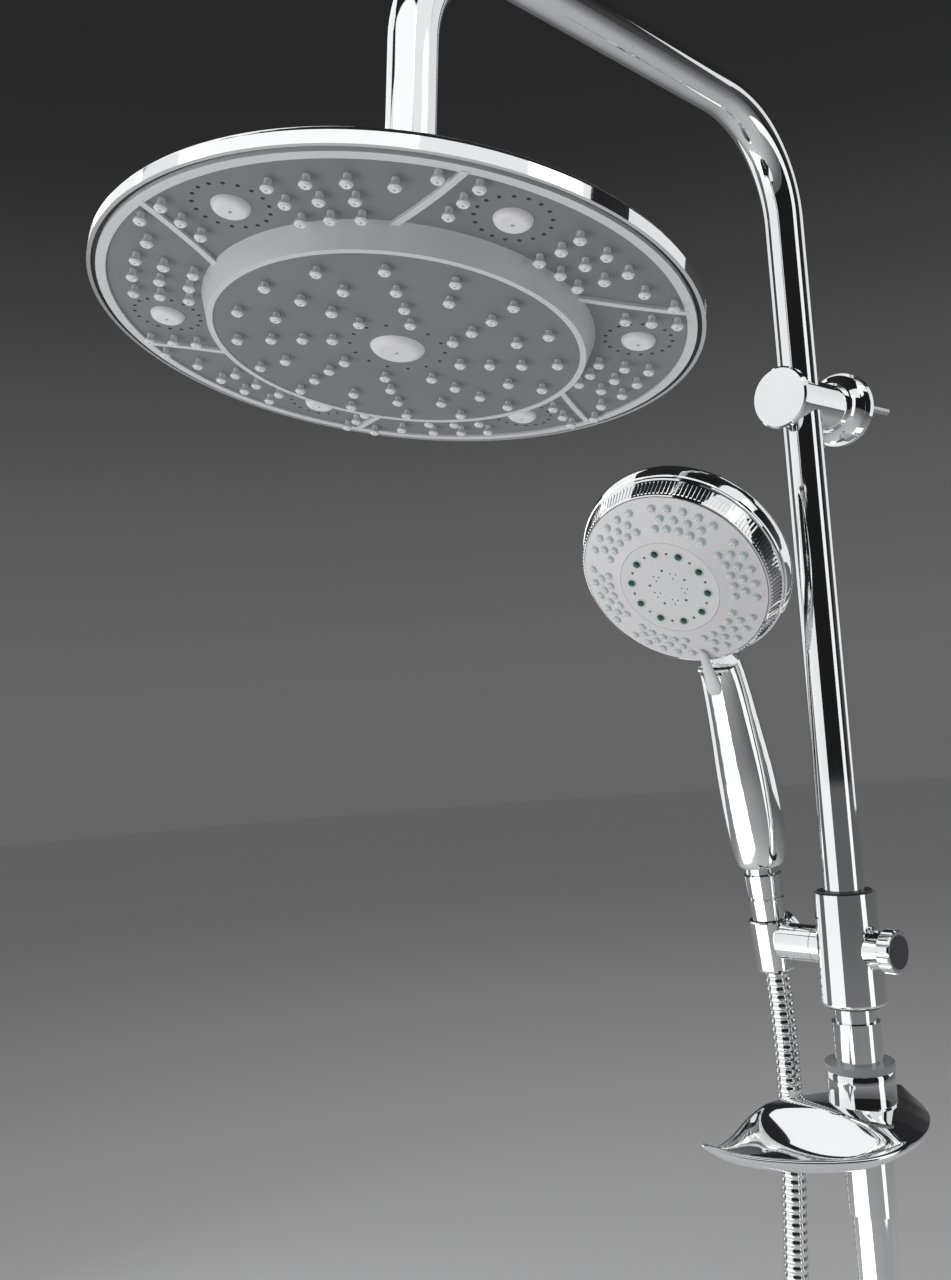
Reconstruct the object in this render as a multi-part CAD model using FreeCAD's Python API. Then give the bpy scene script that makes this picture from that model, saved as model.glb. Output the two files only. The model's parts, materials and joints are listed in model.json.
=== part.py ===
import FreeCAD, Part
import math
import os

# A wall-hung shower column: a tall riser tube with a bent-over arm and a rain
# head on a ball joint, a sliding hand-shower holder, a hand shower on a metal
# hose, a leaf-shaped soap dish and a two-way diverter at the wall inlet.
# Millimetres. The wall is the plane y = 0, the user stands on the -Y side and
# +Z is up. The origin is the centre of the upper bracket's foot on the wall.

V = FreeCAD.Vector
AXIS_X = V(1, 0, 0)
AXIS_Y = V(0, 1, 0)
AXIS_Z = V(0, 0, 1)

# ---------------------------------------------------------------- the column
wall_gap = 42.0           # riser axis to wall
tube_diameter = 22.0
tube_wall = 1.2
bend_radius = 60.0        # both bends of the arm
arm_corner_height = 159.0  # arm centre line over the riser axis
arm_rise = 3.7            # degrees, the arm climbs outwards
arm_reach = 276.7         # riser axis to ball centre
leg_lean = 6.5            # degrees, foot of the drop leg leans outwards
ball_height = 33.2        # ball centre over the bracket axis
stem_length = 24.0        # ball centre to the end of the arm tube
sleeve_half = 30.0        # joint sleeve, half length
sleeve_wall = 2.3
seal_section = 1.2        # round seals, section height
running = 0.08            # radial clearance of turning and sliding fits
clear = 0.3               # gap between moving faces that only pass each other

# ------------------------------------------------------------- upper bracket
barrel_wall = 2.0         # over the riser that passes through
barrel_radius = tube_diameter / 2 + barrel_wall
barrel_front = 17.0       # riser axis to the barrel's front end
cap_overhang = 4.0        # the cap and the flange stand out from the barrel
bracket_cap_radius = barrel_radius + cap_overhang
bracket_cap_thickness = 3.6
flange_overhang = 8.0
flange_radius = barrel_radius + flange_overhang
flange_depth = 13.0
wall_plate_thickness = 4.0
stud_radius = 7.0
grub_radius = 2.5
wall_screw_radius = 2.2
wall_screw_length = 34.0
wall_screw_neck = 2.5       # plain neck under the head, up to the wall plane
wall_screw_spacing = 24.0

# ----------------------------------------------------------------- rain head
head_radius = 120.5
head_tilt = 12.0          # degrees off level, front edge up
head_drop = 40.0          # ball centre to the rim's lower edge
rim_height = 6.5
rim_wall = 1.5
shell_wall = 2.0
neck_radius = 14.0
ball_radius = 10.0
ball_neck_radius = 5.5
water_bore = 3.4
seat_wall = 1.9
face_edge = 7.0           # rim to the inside of the light ring
face_radius = head_radius - face_edge
light_ring_width = 3.7
face_thickness = 2.5
disc_radius = 75.0        # lower edge of the raised inner disc
disc_draft = 3.0          # its wall widens by this towards the face
disc_drop = 9.5           # the inner disc stands this far below the face
sector_count = 6
rib_width = 2.6
rib_height = 1.3
rib_sweep = 12.0          # degrees a rib turns between rim and disc
first_rib = -88.0         # degrees, outer end of the first rib
button_radius = 6.9
button_height = 2.4
button_circle = 95.0
button_offset = 13.0      # degrees after the rib's outer end
button_hole_circle = 13.2
button_hole_count = 17
small_hole_radius = 0.8
center_button_radius = 11.0
center_hole_circle = 19.0
center_hole_count = 14
nozzle_head_radius = 2.3
nozzle_stem_radius = 1.3
nozzle_height = 4.2

# ----------------------------------------------------- slider and its holder
slider_height = 60.0
slider_center = -301.0
slider_top_radius = 16.4
slider_bottom_radius = 17.3
liner_wall = 2.0
neck_reach = 21.5         # slider axis to the end of the knob's neck
knob_radius = 11.6
knob_length = 7.4
knob_flutes = 12
flute_radius = 1.9
spindle_radius = 3.0
pad_radius = 5.5
holder_reach = 50.0       # riser axis to cup axis
holder_setback = 1.0      # cup axis behind the riser axis, towards the wall
holder_arm_radius = 10.2
holder_boss_reach = 19.0
pivot_radius = 6.5
cup_radius = 11.2
cup_above = 12.0
cup_below = 17.0
cup_wall = 1.4
cup_liner_wall = 0.9
rear_boss_radius = 16.0
rear_boss_depth = 7.0
handset_lean = 6.0        # degrees, the hand shower leans out from the wall
handset_turn = 9.6        # degrees, turned in its cup

# --------------------------------------------------------------- hand shower
nut_foot = -12.0          # along the handle, from the tilt axis
nut_top = 38.0
nut_foot_radius = 8.3
nut_top_radius = 10.7
handle_foot = 39.0
handle_stations = [
    (0.0, 41.5, 13.0, 0.0),
    (0.0, 56.0, 15.9, 0.0),
    (0.0, 76.0, 17.2, 0.0),
    (-3.0, 98.0, 16.8, 5.0),
    (-7.0, 128.0, 14.4, 9.0),
    (-10.0, 159.0, 13.4, 15.0),
    (-17.0, 171.0, 11.8, 27.0),
    (-23.0, 181.0, 9.5, 30.0),
]                         # forward offset, height, radius, lean of the handle
handle_wall = 2.2
spray_offset = -53.0      # centre of the spray face, in front of the handle
spray_height = 210.2
spray_tilt = 29.8         # degrees the face looks down from level
spray_radius = 51.6
grip_ring_radius = 54.4
grip_ring_depth = 11.0
grip_ring_ribs = 150
dome_depth = 16.0         # chrome back, behind the grip ring
spray_dome = 6.6          # the face bulges by this
spray_disc_radius = 28.0
spray_group_count = 6
spray_rows = [(45.6, 5, 10.8), (40.4, 4, 10.8), (35.2, 5, 10.5)]
spray_turn = 30.5         # degrees, a group's middle lies beside the lever
spray_nozzle_radius = 2.0
spray_nozzle_height = 1.3
jet_count = 10
jet_circle = 21.4
jet_radius = 2.6
lever_width = 8.6
lever_length = 21.5
lever_rise = 6.4          # its tip stands this far before the spray plane
lever_thickness = 2.4
chin_depth = 4.0          # ledge of the handle under the ring
inner_tube_radius = 6.5

# ----------------------------------------------------------------- soap dish
dish_rim_height = -388.0
dish_back = 36.0          # behind the riser axis
dish_tip = 116.0          # in front of the riser axis
dish_wall = 2.4
dish_stations = [
    (36.0, 9.0, 3.4, 0.0),
    (28.0, 27.0, 6.0, 0.0),
    (14.0, 38.5, 9.5, 0.0),
    (-6.0, 45.0, 12.5, 0.0),
    (-30.0, 48.0, 14.0, 0.0),
    (-56.0, 45.0, 13.5, 0.0),
    (-80.0, 34.0, 11.5, 1.5),
    (-98.0, 20.0, 8.5, 5.0),
    (-109.0, 9.0, 5.6, 8.5),
    (-116.0, 3.2, 3.4, 11.0),
]                         # place along Y, half width, depth, rise of the rim
collar_radius = 17.8
collar_top = -365.0
collar_bottom = -404.0
gasket_radius = 18.3
gasket_height = 3.6
clamp_screw_radius = 2.5

# ------------------------------------------------------------------ diverter
diverter_height = -960.0  # axis of the wall inlet
diverter_radius = 18.0
diverter_above = 30.0
diverter_below = 32.0
inlet_radius = 14.0
thread_radius = 10.48     # half-inch pipe thread
spigot_length = 14.0
rose_radius = 31.0
rose_depth = 8.0
gland_height = 17.0
gland_radius = 15.5
diverter_knob_radius = 17.0
diverter_knob_length = 20.0
diverter_knob_gap = 6.0
cartridge_radius = 10.0

# ---------------------------------------------------------------------- hose
hose_diameter = 14.0
hose_bore = 8.0
hose_ribs = 200
rib_depth = 0.7
hose_points = [
    (-51.6, 7.2, -410),
    (-54.6, 4.2, -480),
    (-60.0, -0.5, -590),
    (-69.0, -5.5, -720),
    (-82.0, -10.5, -860),
    (-95.0, -14.5, -1000),
    (-105.0, -17.0, -1110),
    (-110.5, -18.5, -1185),
]                         # on the way down: side, behind the riser axis, height
loop_radius = 80.0
loop_side = -31.0
loop_height = -1240.0
loop_forward = -19.5
hose_return = [
    (53.0, -10.0, -1202),
    (41.0, -7.0, -1146),
    (16.0, -3.0, -1100),
    (0.0, 0.0, -1056),
]
base_nut_radius = 13.0
base_nut_length = 20.0
washer_thickness = 1.6

# ------------------------------------------------------------ derived values
tube_radius = tube_diameter / 2
tube_bore = tube_radius - tube_wall
riser_y = -wall_gap
ball_center = V(0, riser_y - arm_reach, ball_height)
slider_bottom = slider_center - slider_height / 2
liner_outer = tube_radius + running + liner_wall
holder_point = V(-holder_reach, riser_y + holder_setback, slider_center)
outlet_foot = diverter_height - diverter_below
hose_end = V(0, riser_y, outlet_foot - clear - base_nut_length)


# ------------------------------------------------------------ shape helpers
def rod(radius, start, axis, length):
    return Part.makeCylinder(radius, length, start, axis)


def pipe(outer, inner, start, axis, length):
    return rod(outer, start, axis, length).cut(rod(inner, start, axis, length))


def turned(start, *steps):
    """Turn a closed (radius, height) outline about Z. A step is a corner, or
    a pair (middle, end) for an arc."""
    edges = []
    here = start
    for step in list(steps) + [start]:
        if isinstance(step[0], tuple):
            middle, there = step
            arc = Part.Arc(point_rz(here), point_rz(middle), point_rz(there))
            edges.append(arc.toShape())
        else:
            there = step
            edges.append(Part.makeLine(point_rz(here), point_rz(there)))
        here = there
    face = Part.Face(Part.Wire(edges))
    return face.revolve(V(0, 0, 0), AXIS_Z, 360)


def point_rz(pair):
    return V(pair[0], 0, pair[1])


def joined(shapes):
    whole = shapes[0].multiFuse(list(shapes[1:]))
    return whole.removeSplitter()


def placed(shape, origin, lean=0.0, turn=0.0):
    """Turn about Z, lean about X, then move to origin."""
    moved = shape.copy()
    lean_rotation = FreeCAD.Rotation(AXIS_X, lean)
    turn_rotation = FreeCAD.Rotation(AXIS_Z, turn)
    spin = FreeCAD.Placement(origin, lean_rotation.multiply(turn_rotation))
    moved.Placement = spin.multiply(moved.Placement)
    return moved


def around(count, radius, first=0.0):
    """Points evenly spaced on a circle about Z."""
    for step in range(count):
        angle = math.radians(first + step * 360.0 / count)
        yield V(radius * math.cos(angle), radius * math.sin(angle), 0)


def polar(radius, degrees, height=0.0):
    angle = math.radians(degrees)
    return V(radius * math.cos(angle), radius * math.sin(angle), height)


def prism(sides, across, start, length, bore):
    """A nut's body: a regular prism about Z, measured across its flats."""
    corner = across / 2 / math.cos(math.pi / sides)
    ring = [start + p for p in around(sides, corner)]
    face = Part.Face(Part.makePolygon(ring + [ring[0]]))
    body = face.extrude(V(0, 0, length))
    return body.cut(rod(bore, start, AXIS_Z, length))


def rounded_route(points, radii=None):
    """Straight runs joined by tangent arcs, as one wire, and its radii."""
    edges = []
    used = []
    here = points[0]
    for index in range(1, len(points) - 1):
        corner = points[index]
        back = points[index - 1] - corner
        ahead = points[index + 1] - corner
        turn = math.pi - back.getAngle(ahead)
        shorter = min(back.Length, ahead.Length)
        radius = 0.45 * shorter / math.tan(turn / 2)
        if radii:
            radius = radii[index - 1]
        setback = radius * math.tan(turn / 2)
        used.append(radius)
        back.normalize()
        ahead.normalize()
        entry = corner + back * setback
        leave = corner + ahead * setback
        bisector = back + ahead
        bisector.normalize()
        centre = corner + bisector * (radius / math.cos(turn / 2))
        middle = centre - bisector * radius
        edges.append(Part.LineSegment(here, entry).toShape())
        edges.append(Part.Arc(entry, middle, leave).toShape())
        here = leave
    edges.append(Part.LineSegment(here, points[-1]).toShape())
    return Part.Wire(edges), used


def swept(route, start, axis, radius):
    ring = Part.Wire(Part.makeCircle(radius, start, axis))
    return route.makePipeShell([ring], True, False)


def ball_frame(height):
    """A place on the drop leg's axis, this far above the ball centre."""
    angle = math.radians(leg_lean)
    return ball_center + V(0, math.sin(angle), math.cos(angle)) * height


# ---------------------------------------------------------------- the column
def arm_tube():
    slope = math.tan(math.radians(arm_rise))
    lean = math.tan(math.radians(leg_lean))
    # the drop leg's line meets the arm's line at the outer corner
    top = arm_corner_height + slope * arm_reach
    rise = (top - ball_height) / (1 + slope * lean)
    outer_corner = ball_center + V(0, lean * rise, rise)
    start = V(0, riser_y, 0)
    inner_corner = V(0, riser_y, arm_corner_height)
    end = ball_frame(stem_length)
    route, _ = rounded_route(
        [start, inner_corner, outer_corner, end], [bend_radius, bend_radius]
    )
    outside = swept(route, start, AXIS_Z, tube_radius)
    inside = swept(route, start, AXIS_Z, tube_bore)
    return outside.cut(inside)


def riser_tube():
    foot = diverter_height + diverter_above - gland_height / 2
    return pipe(tube_radius, tube_bore, V(0, riser_y, foot), AXIS_Z, -foot)


def joint_sleeve():
    start = V(0, riser_y, -sleeve_half)
    inner = tube_bore - sleeve_wall
    sleeve = pipe(tube_bore, inner, start, AXIS_Z, 2 * sleeve_half)
    for height in seal_heights():
        sleeve = sleeve.cut(seal_ring(height))
    return sleeve


def seal_heights():
    return [-22.0, -14.0, 14.0, 22.0]


def seal_ring(height):
    start = V(0, riser_y, height - seal_section)
    return pipe(tube_bore, tube_bore - seal_section, start, AXIS_Z, 2 * seal_section)


def joint_seals():
    return Part.makeCompound([seal_ring(height) for height in seal_heights()])


# ------------------------------------------------------------- upper bracket
def bracket_barrel():
    length = barrel_front + wall_gap - wall_plate_thickness
    start = V(0, riser_y - barrel_front, 0)
    barrel = rod(barrel_radius, start, AXIS_Y, length)
    bore = rod(tube_radius, V(0, riser_y, -40), AXIS_Z, 80)
    stud_hole = rod(stud_radius, V(0, -stud_reach(), 0), AXIS_Y, stud_reach())
    cap_hole = rod(stud_radius - 2, start, AXIS_Y, barrel_front - tube_radius - 1)
    return barrel.cut(bore).cut(stud_hole).cut(cap_hole).cut(grub_screw_blank())


def stud_reach():
    return wall_gap - tube_radius - 3.0


def grub_screw_blank():
    start = V(0, -stud_reach() / 2 - 3, -barrel_radius - 1)
    return rod(grub_radius, start, AXIS_Z, barrel_radius - stud_radius + 1)


def bracket_grub_screw():
    screw = grub_screw_blank().common(rod(barrel_radius - 0.5, V(0, -60, 0), AXIS_Y, 60))
    socket = prism(6, 2.4, V(0, -stud_reach() / 2 - 3, -barrel_radius), 2.4, 0.4)
    return screw.cut(socket)


def bracket_cap():
    front = riser_y - barrel_front
    rim = turned(
        (0, 0),
        (bracket_cap_radius, 0),
        (bracket_cap_radius, bracket_cap_thickness - 1),
        (bracket_cap_radius - 1, bracket_cap_thickness),
        (0, bracket_cap_thickness),
    )
    rim.rotate(V(0, 0, 0), AXIS_X, 90)
    rim.translate(V(0, front, 0))
    stem = rod(stud_radius - 2, V(0, front, 0), AXIS_Y, barrel_front - tube_radius - 2)
    return joined([rim, stem])


def bracket_flange():
    wall = turned(
        (barrel_radius, 0),
        (flange_radius, 0),
        (flange_radius, 3.2),
        (flange_radius - 1.6, 3.2),
        (flange_radius - 1.6, 6.0),
        ((flange_radius - 4.6, 8.6), (barrel_radius + 1.2, flange_depth)),
        (barrel_radius, flange_depth),
    )
    room = rod(flange_radius - 4.0, V(0, 0, 0), AXIS_Z, wall_plate_thickness)
    wall = wall.cut(room)
    wall.rotate(V(0, 0, 0), AXIS_X, 90)
    return wall


def bracket_wall_plate():
    start = V(0, -wall_plate_thickness, 0)
    plate = rod(flange_radius - 4.2, start, AXIS_Y, wall_plate_thickness)
    stud = rod(stud_radius, V(0, -stud_reach(), 0), AXIS_Y, stud_reach())
    plate = joined([plate, stud])
    for side in (-1, 1):
        plate = plate.cut(wall_screw(side * wall_screw_spacing / 2, 0))
    return plate


def wall_screw(x, z, sink=0.0):
    """A countersunk screw through a wall plate at the wall plane."""
    front = V(x, -wall_plate_thickness + sink, z)
    head = Part.makeCone(wall_screw_radius * 1.8, wall_screw_neck, 2.4, front, AXIS_Y)
    neck = rod(wall_screw_neck, front, AXIS_Y, wall_plate_thickness - sink)
    shank = rod(wall_screw_radius, front, AXIS_Y, wall_screw_length)
    return joined([head, neck, shank])


def bracket_wall_screws():
    screws = [wall_screw(s * wall_screw_spacing / 2, 0) for s in (-1, 1)]
    return Part.makeCompound(screws)


# ----------------------------------------------------------------- rain head
def in_head(shape):
    """From the head's own frame, ball centre at zero, to its place."""
    return placed(shape, ball_center, -head_tilt)


def arm_ball():
    reach = stem_length + 14.0
    ball = Part.makeSphere(ball_radius)
    neck = rod(ball_neck_radius, V(0, 0, 0), AXIS_Z, stem_length)
    collar = rod(tube_radius, V(0, 0, stem_length - 7), AXIS_Z, 7)
    thread = rod(tube_bore, V(0, 0, stem_length), AXIS_Z, reach - stem_length)
    ball = joined([ball, neck, collar, thread])
    ball = ball.cut(rod(water_bore, V(0, 0, -ball_radius - 1), AXIS_Z, reach + 30))
    return placed(ball, ball_center, -leg_lean)


def seat_inner():
    return ball_radius + running


def seat_outer():
    return seat_inner() + seat_wall


def head_ball_seat():
    """A thin spherical ring that the ball turns in."""
    outer = Part.makeSphere(seat_outer())
    inner = Part.makeSphere(seat_inner())
    zone = rod(20, V(0, 0, -8.8), AXIS_Z, 6.3)
    return in_head(outer.cut(inner).common(zone))


def head_shell():
    socket = seat_outer() + running
    throat = 5.0
    throat_top = -math.sqrt(socket ** 2 - throat ** 2)
    mid_angle = math.radians(-35)
    middle = (socket * math.cos(mid_angle), socket * math.sin(mid_angle))
    lip = (math.sqrt(socket ** 2 - 4), -2.0)
    rim_top = rim_height - head_drop
    inner = head_radius - rim_wall
    shell = turned(
        (throat, -21.5),
        (throat, throat_top),
        (middle, lip),
        (neck_radius, -2.0),
        (neck_radius, -17.0),
        ((17.0, -19.2), (23.0, -20.2)),
        (head_radius - 9, rim_top + 2.6),
        ((head_radius - 2.4, rim_top + 1.0), (head_radius, rim_top - 1.8)),
        (head_radius, -head_drop),
        (inner, -head_drop),
        (inner, rim_top - 1.8),
        (head_radius - 10, rim_top + 2.6 - shell_wall),
        (23.0, -20.2 - shell_wall),
    )
    for place in around(3, screw_circle(), 30):
        boss = rod(4.0, place + V(0, 0, plate_top()), AXIS_Z, -21.5 - plate_top())
        boss = boss.common(shell_room())
        hole = rod(1.3, place + V(0, 0, plate_top()), AXIS_Z, 5.0)
        shell = joined([shell, boss]).cut(hole)
    return in_head(shell)


def shell_room():
    """The room under the shell's dome, where its screw bosses stand."""
    rim_top = rim_height - head_drop
    return turned(
        (0, plate_top()),
        (head_radius - 12, plate_top()),
        (head_radius - 10, rim_top + 3.0 - shell_wall),
        (23.0, -19.8 - shell_wall),
        (0, -19.8 - shell_wall),
    )


def dome_height(radius):
    """Height of the shell's inner face at this radius."""
    rim_top = rim_height - head_drop
    low = V(head_radius - 10, 0, rim_top + 2.6 - shell_wall)
    high = V(23.0, 0, -20.2 - shell_wall)
    share = (low.x - radius) / (low.x - high.x)
    return low.z + (high.z - low.z) * share


def screw_circle():
    return 58.0


def plate_top():
    return rim_height - head_drop


def face_top():
    return 3.0 - head_drop


def face_bottom():
    return face_top() - face_thickness


def disc_bottom():
    return face_bottom() - disc_drop


def head_ball_nut():
    """The nut on the shell's neck whose lip keeps the ball in its seat."""
    lip = seat_inner()
    nut = turned(
        (neck_radius, -13.0),
        (neck_radius + 3.0, -13.0),
        (neck_radius + 3.0, -1.0),
        ((neck_radius + 1.4, 3.5), (neck_radius - 2.2, 7.0)),
        (10.6, 7.0),
        (math.sqrt(lip ** 2 - 4.4 ** 2), 4.4),
        ((math.sqrt(lip ** 2 - 2.0 ** 2), 2.0), (lip, 0.0)),
        (12.4, 0.0),
        (12.4, -1.7),
        (neck_radius, -1.7),
    )
    return in_head(nut)


def head_gap_ring():
    """The dark seal between the chrome rim and the light ring."""
    inner = face_radius + light_ring_width
    outer = head_radius - rim_wall
    ring = pipe(outer, inner, V(0, 0, 1.2 - head_drop), AXIS_Z, 3.0)
    return in_head(ring)


def head_frame():
    """The light moulding: outer ring, curved ribs and the disc's wall."""
    low = face_bottom()
    outer = pipe(face_radius + light_ring_width, face_radius,
                 V(0, 0, low - 1.0), AXIS_Z, face_thickness + 3.0)
    foot = disc_radius + disc_draft
    wall = turned(
        (foot, low),
        (disc_radius, disc_bottom()),
        (disc_radius - 2.4, disc_bottom()),
        (disc_radius - 2.4, disc_bottom() + 3.0),
        (foot - 2.4, face_top()),
        (foot, face_top()),
    )
    ribs = [head_rib(index) for index in range(sector_count)]
    return in_head(joined([outer, wall] + ribs))


def head_rib(index):
    """A curved bar from the light ring to the disc's wall."""
    outer_angle = first_rib + index * 360.0 / sector_count
    low = face_bottom() - rib_height
    start = polar(face_radius + 1.0, outer_angle, low)
    end = polar(disc_radius + disc_draft - 1.2, outer_angle - rib_sweep, low)
    middle = polar(
        (face_radius + disc_radius) / 2, outer_angle - 0.38 * rib_sweep, low
    )
    circle = Part.Arc(start, middle, end).toShape().Curve
    centre = circle.Center
    radius = circle.Radius
    axis = V(0, 0, 1)
    ring = pipe(radius + rib_width / 2, radius - rib_width / 2, centre, axis, rib_height)
    band = pipe(face_radius + 1.0, disc_radius + disc_draft - 1.2,
                V(0, 0, low), AXIS_Z, rib_height)
    half = outer_angle - rib_sweep / 2
    keep = Part.makeBox(face_radius, 60, 10, V(disc_radius - 25, -30, low - 2))
    keep.rotate(V(0, 0, 0), AXIS_Z, half)
    return ring.common(band).common(keep)


def nozzle_places():
    """Places of the outer nozzles in one sector, from the rib's outer end."""
    places = [(110.0, 3.0), (100.5, 1.6), (91.0, 0.0)]
    for angle in (26.0, 33.5, 41.0):
        places += [(82.5, angle), (93.5, angle), (103.5, angle - 0.5)]
    places += [(103.0, 49.0), (110.5, 56.0)]
    return places


def head_places():
    """Every outer nozzle: radius and angle on the head's face."""
    spots = []
    for sector in range(sector_count):
        base = first_rib + sector * 360.0 / sector_count
        spots += [polar(radius, base + angle) for radius, angle in nozzle_places()]
    return spots


def disc_places():
    """Every nozzle on the inner disc, in curved rows."""
    spots = []
    for radius, count, shift in ((26.0, 8, 15.0), (37.5, 8, 8.0),
                                 (50.0, 16, 3.5), (64.0, 16, 0.0)):
        spots += list(around(count, radius, shift + 3.0))
    return spots


def button_places():
    step = 360.0 / sector_count
    return [polar(button_circle, first_rib + button_offset + n * step)
            for n in range(sector_count)]


def nozzle(place, face, height, radius, stem, thickness):
    """A rubber nozzle: stem in the plate, neck and flat mushroom head."""
    shape = turned(
        (0.45, face - height + 1.0),
        (0.45, face - height),
        (radius * 0.72, face - height),
        (radius, face - height + 0.7),
        (radius * 0.9, face - height + 1.6),
        (stem, face - height + 2.0),
        (stem, face + thickness),
        (0, face + thickness),
        (0, face - height + 1.0),
    )
    shape.translate(place)
    return shape


def head_face():
    """The grey plate between the light ring and the inner disc."""
    low = face_bottom()
    inner = disc_radius + disc_draft
    plate = pipe(face_radius, inner, V(0, 0, low), AXIS_Z, face_thickness)
    holes = [rod(nozzle_stem_radius, p + V(0, 0, low - 1), AXIS_Z, 6)
             for p in head_places()]
    for centre in button_places():
        holes.append(rod(button_radius - 2, centre + V(0, 0, low - 1), AXIS_Z, 6))
        for place in around(button_hole_count, button_hole_circle):
            start = centre + place + V(0, 0, low - 1)
            holes.append(rod(small_hole_radius, start, AXIS_Z, 6))
    return in_head(plate.cut(Part.makeCompound(holes)))


def head_disc():
    """The grey plate of the raised inner disc."""
    low = disc_bottom() + 0.4
    plate = rod(disc_radius - 2.4, V(0, 0, low), AXIS_Z, face_thickness)
    holes = [rod(nozzle_stem_radius, p + V(0, 0, low - 1), AXIS_Z, 6)
             for p in disc_places()]
    for place in around(center_hole_count, center_hole_circle):
        holes.append(rod(small_hole_radius, place + V(0, 0, low - 1), AXIS_Z, 6))
    holes.append(rod(center_button_radius - 3, V(0, 0, low - 1), AXIS_Z, 6))
    return in_head(plate.cut(Part.makeCompound(holes)))


def button(centre, face, radius, inset):
    shape = turned(
        (0.7, face - button_height),
        (radius * 0.5, face - button_height),
        ((radius * 0.8, face - button_height * 0.86), (radius, face)),
        (radius - inset, face),
        (radius - inset, face + face_thickness),
        (0.7, face + face_thickness),
    )
    shape.translate(centre)
    return shape


def head_buttons():
    parts = [button(p, face_bottom(), button_radius, 2.0) for p in button_places()]
    middle = disc_bottom() + 0.4
    parts.append(button(V(0, 0, 0), middle, center_button_radius, 3.0))
    return in_head(Part.makeCompound(parts))


def head_nozzles():
    parts = [
        nozzle(p, face_bottom(), nozzle_height, nozzle_head_radius,
               nozzle_stem_radius, face_thickness)
        for p in head_places()
    ]
    return in_head(Part.makeCompound(parts))


def head_disc_nozzles():
    parts = [
        nozzle(p, disc_bottom() + 0.4, nozzle_height - 0.8, nozzle_head_radius,
               nozzle_stem_radius, face_thickness)
        for p in disc_places()
    ]
    return in_head(Part.makeCompound(parts))


def head_chamber_plate():
    """The inner plate that shares the water between the nozzles."""
    top = plate_top()
    plate = rod(head_radius - 12, V(0, 0, top - 1.6), AXIS_Z, 1.6)
    holes = [rod(2.6, p + V(0, 0, top - 3), AXIS_Z, 6) for p in around(18, 88.0)]
    holes += [rod(2.6, p + V(0, 0, top - 3), AXIS_Z, 6) for p in around(8, 38.0)]
    holes += [rod(1.5, p + V(0, 0, top - 3), AXIS_Z, 6)
              for p in around(3, screw_circle(), 30)]
    return in_head(plate.cut(Part.makeCompound(holes)))


def head_chamber_seal():
    """The round seal that lies on the plate's edge, under the shell."""
    top = plate_top()
    room = dome_height(head_radius - 16) - top
    ring = Part.makeTorus(head_radius - 16, room / 2, V(0, 0, top + room / 2), AXIS_Z)
    return in_head(ring)


def head_screws():
    parts = []
    for place in around(3, screw_circle(), 30):
        low = plate_top() - 1.6
        head = rod(2.8, place + V(0, 0, low - 1.7), AXIS_Z, 1.7)
        shank = rod(1.3, place + V(0, 0, low), AXIS_Z, 6.0)
        parts.append(head.fuse(shank))
    return in_head(Part.makeCompound(parts))


def ball_filter():
    """The strainer washer that lies on the ball's stem, inside the tube."""
    disc = pipe(tube_bore, 1.0, V(0, 0, stem_length + 14.0), AXIS_Z, 1.6)
    holes = [rod(1.0, p + V(0, 0, stem_length + 13), AXIS_Z, 4) for p in around(6, 5)]
    return placed(disc.cut(Part.makeCompound(holes)), ball_center, -leg_lean)


# -------------------------------------------------------------------- slider
def slider_axis(height=0.0):
    return V(0, riser_y, slider_center + height)


def slider_body():
    foot = slider_axis(-slider_height / 2)
    taper = Part.makeCone(
        slider_bottom_radius, slider_top_radius, slider_height, foot, AXIS_Z
    )
    sharp = [e for e in taper.Edges if e.Curve.TypeId == "Part::GeomCircle"]
    body = taper.makeFillet(1.8, [sharp[0]] if sharp[0].CenterOfMass.z < slider_center
                            else [sharp[-1]])
    neck = Part.makeCone(10.6, 9.5, neck_reach - 12, slider_axis() + V(12, 0, 0), AXIS_X)
    boss = rod(holder_arm_radius, slider_axis() - V(12, 0, 0), -AXIS_X,
               holder_boss_reach - 12)
    body = joined([body, neck, boss])
    body = body.cut(rod(liner_outer + running, foot - V(0, 0, 1), AXIS_Z, slider_height + 2))
    body = body.cut(rod(spindle_radius, slider_axis(), AXIS_X, 40))
    body = body.cut(rod(pad_radius + 0.1, slider_axis(), AXIS_X, liner_outer + 2.0))
    return body.cut(rod(pivot_radius + running, slider_axis(), -AXIS_X, 40))


def slider_liner():
    """The plastic bush that slides on the riser; the body turns on it."""
    foot = slider_axis(-slider_height / 2 - 0.8)
    bush = pipe(liner_outer, tube_radius + running, foot, AXIS_Z, slider_height + 1.6)
    lips = [
        pipe(liner_outer + 1.4, tube_radius + running, slider_axis(z), AXIS_Z, 0.8)
        for z in (-slider_height / 2 - 0.8 - clear / 2, slider_height / 2 + clear / 2)
    ]
    return joined([bush] + lips)


def slider_pad():
    """The brake pad that the spindle presses on the bush."""
    pad = rod(pad_radius, slider_axis(), AXIS_X, liner_outer + 1.8)
    return pad.cut(rod(liner_outer + running, slider_axis(-30), AXIS_Z, 60))


def slider_spindle():
    start = slider_axis() + V(liner_outer + 1.8, 0, 0)
    length = neck_reach + clear + knob_length - 1.4 - liner_outer - 1.8
    return rod(spindle_radius, start, AXIS_X, length)


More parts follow.
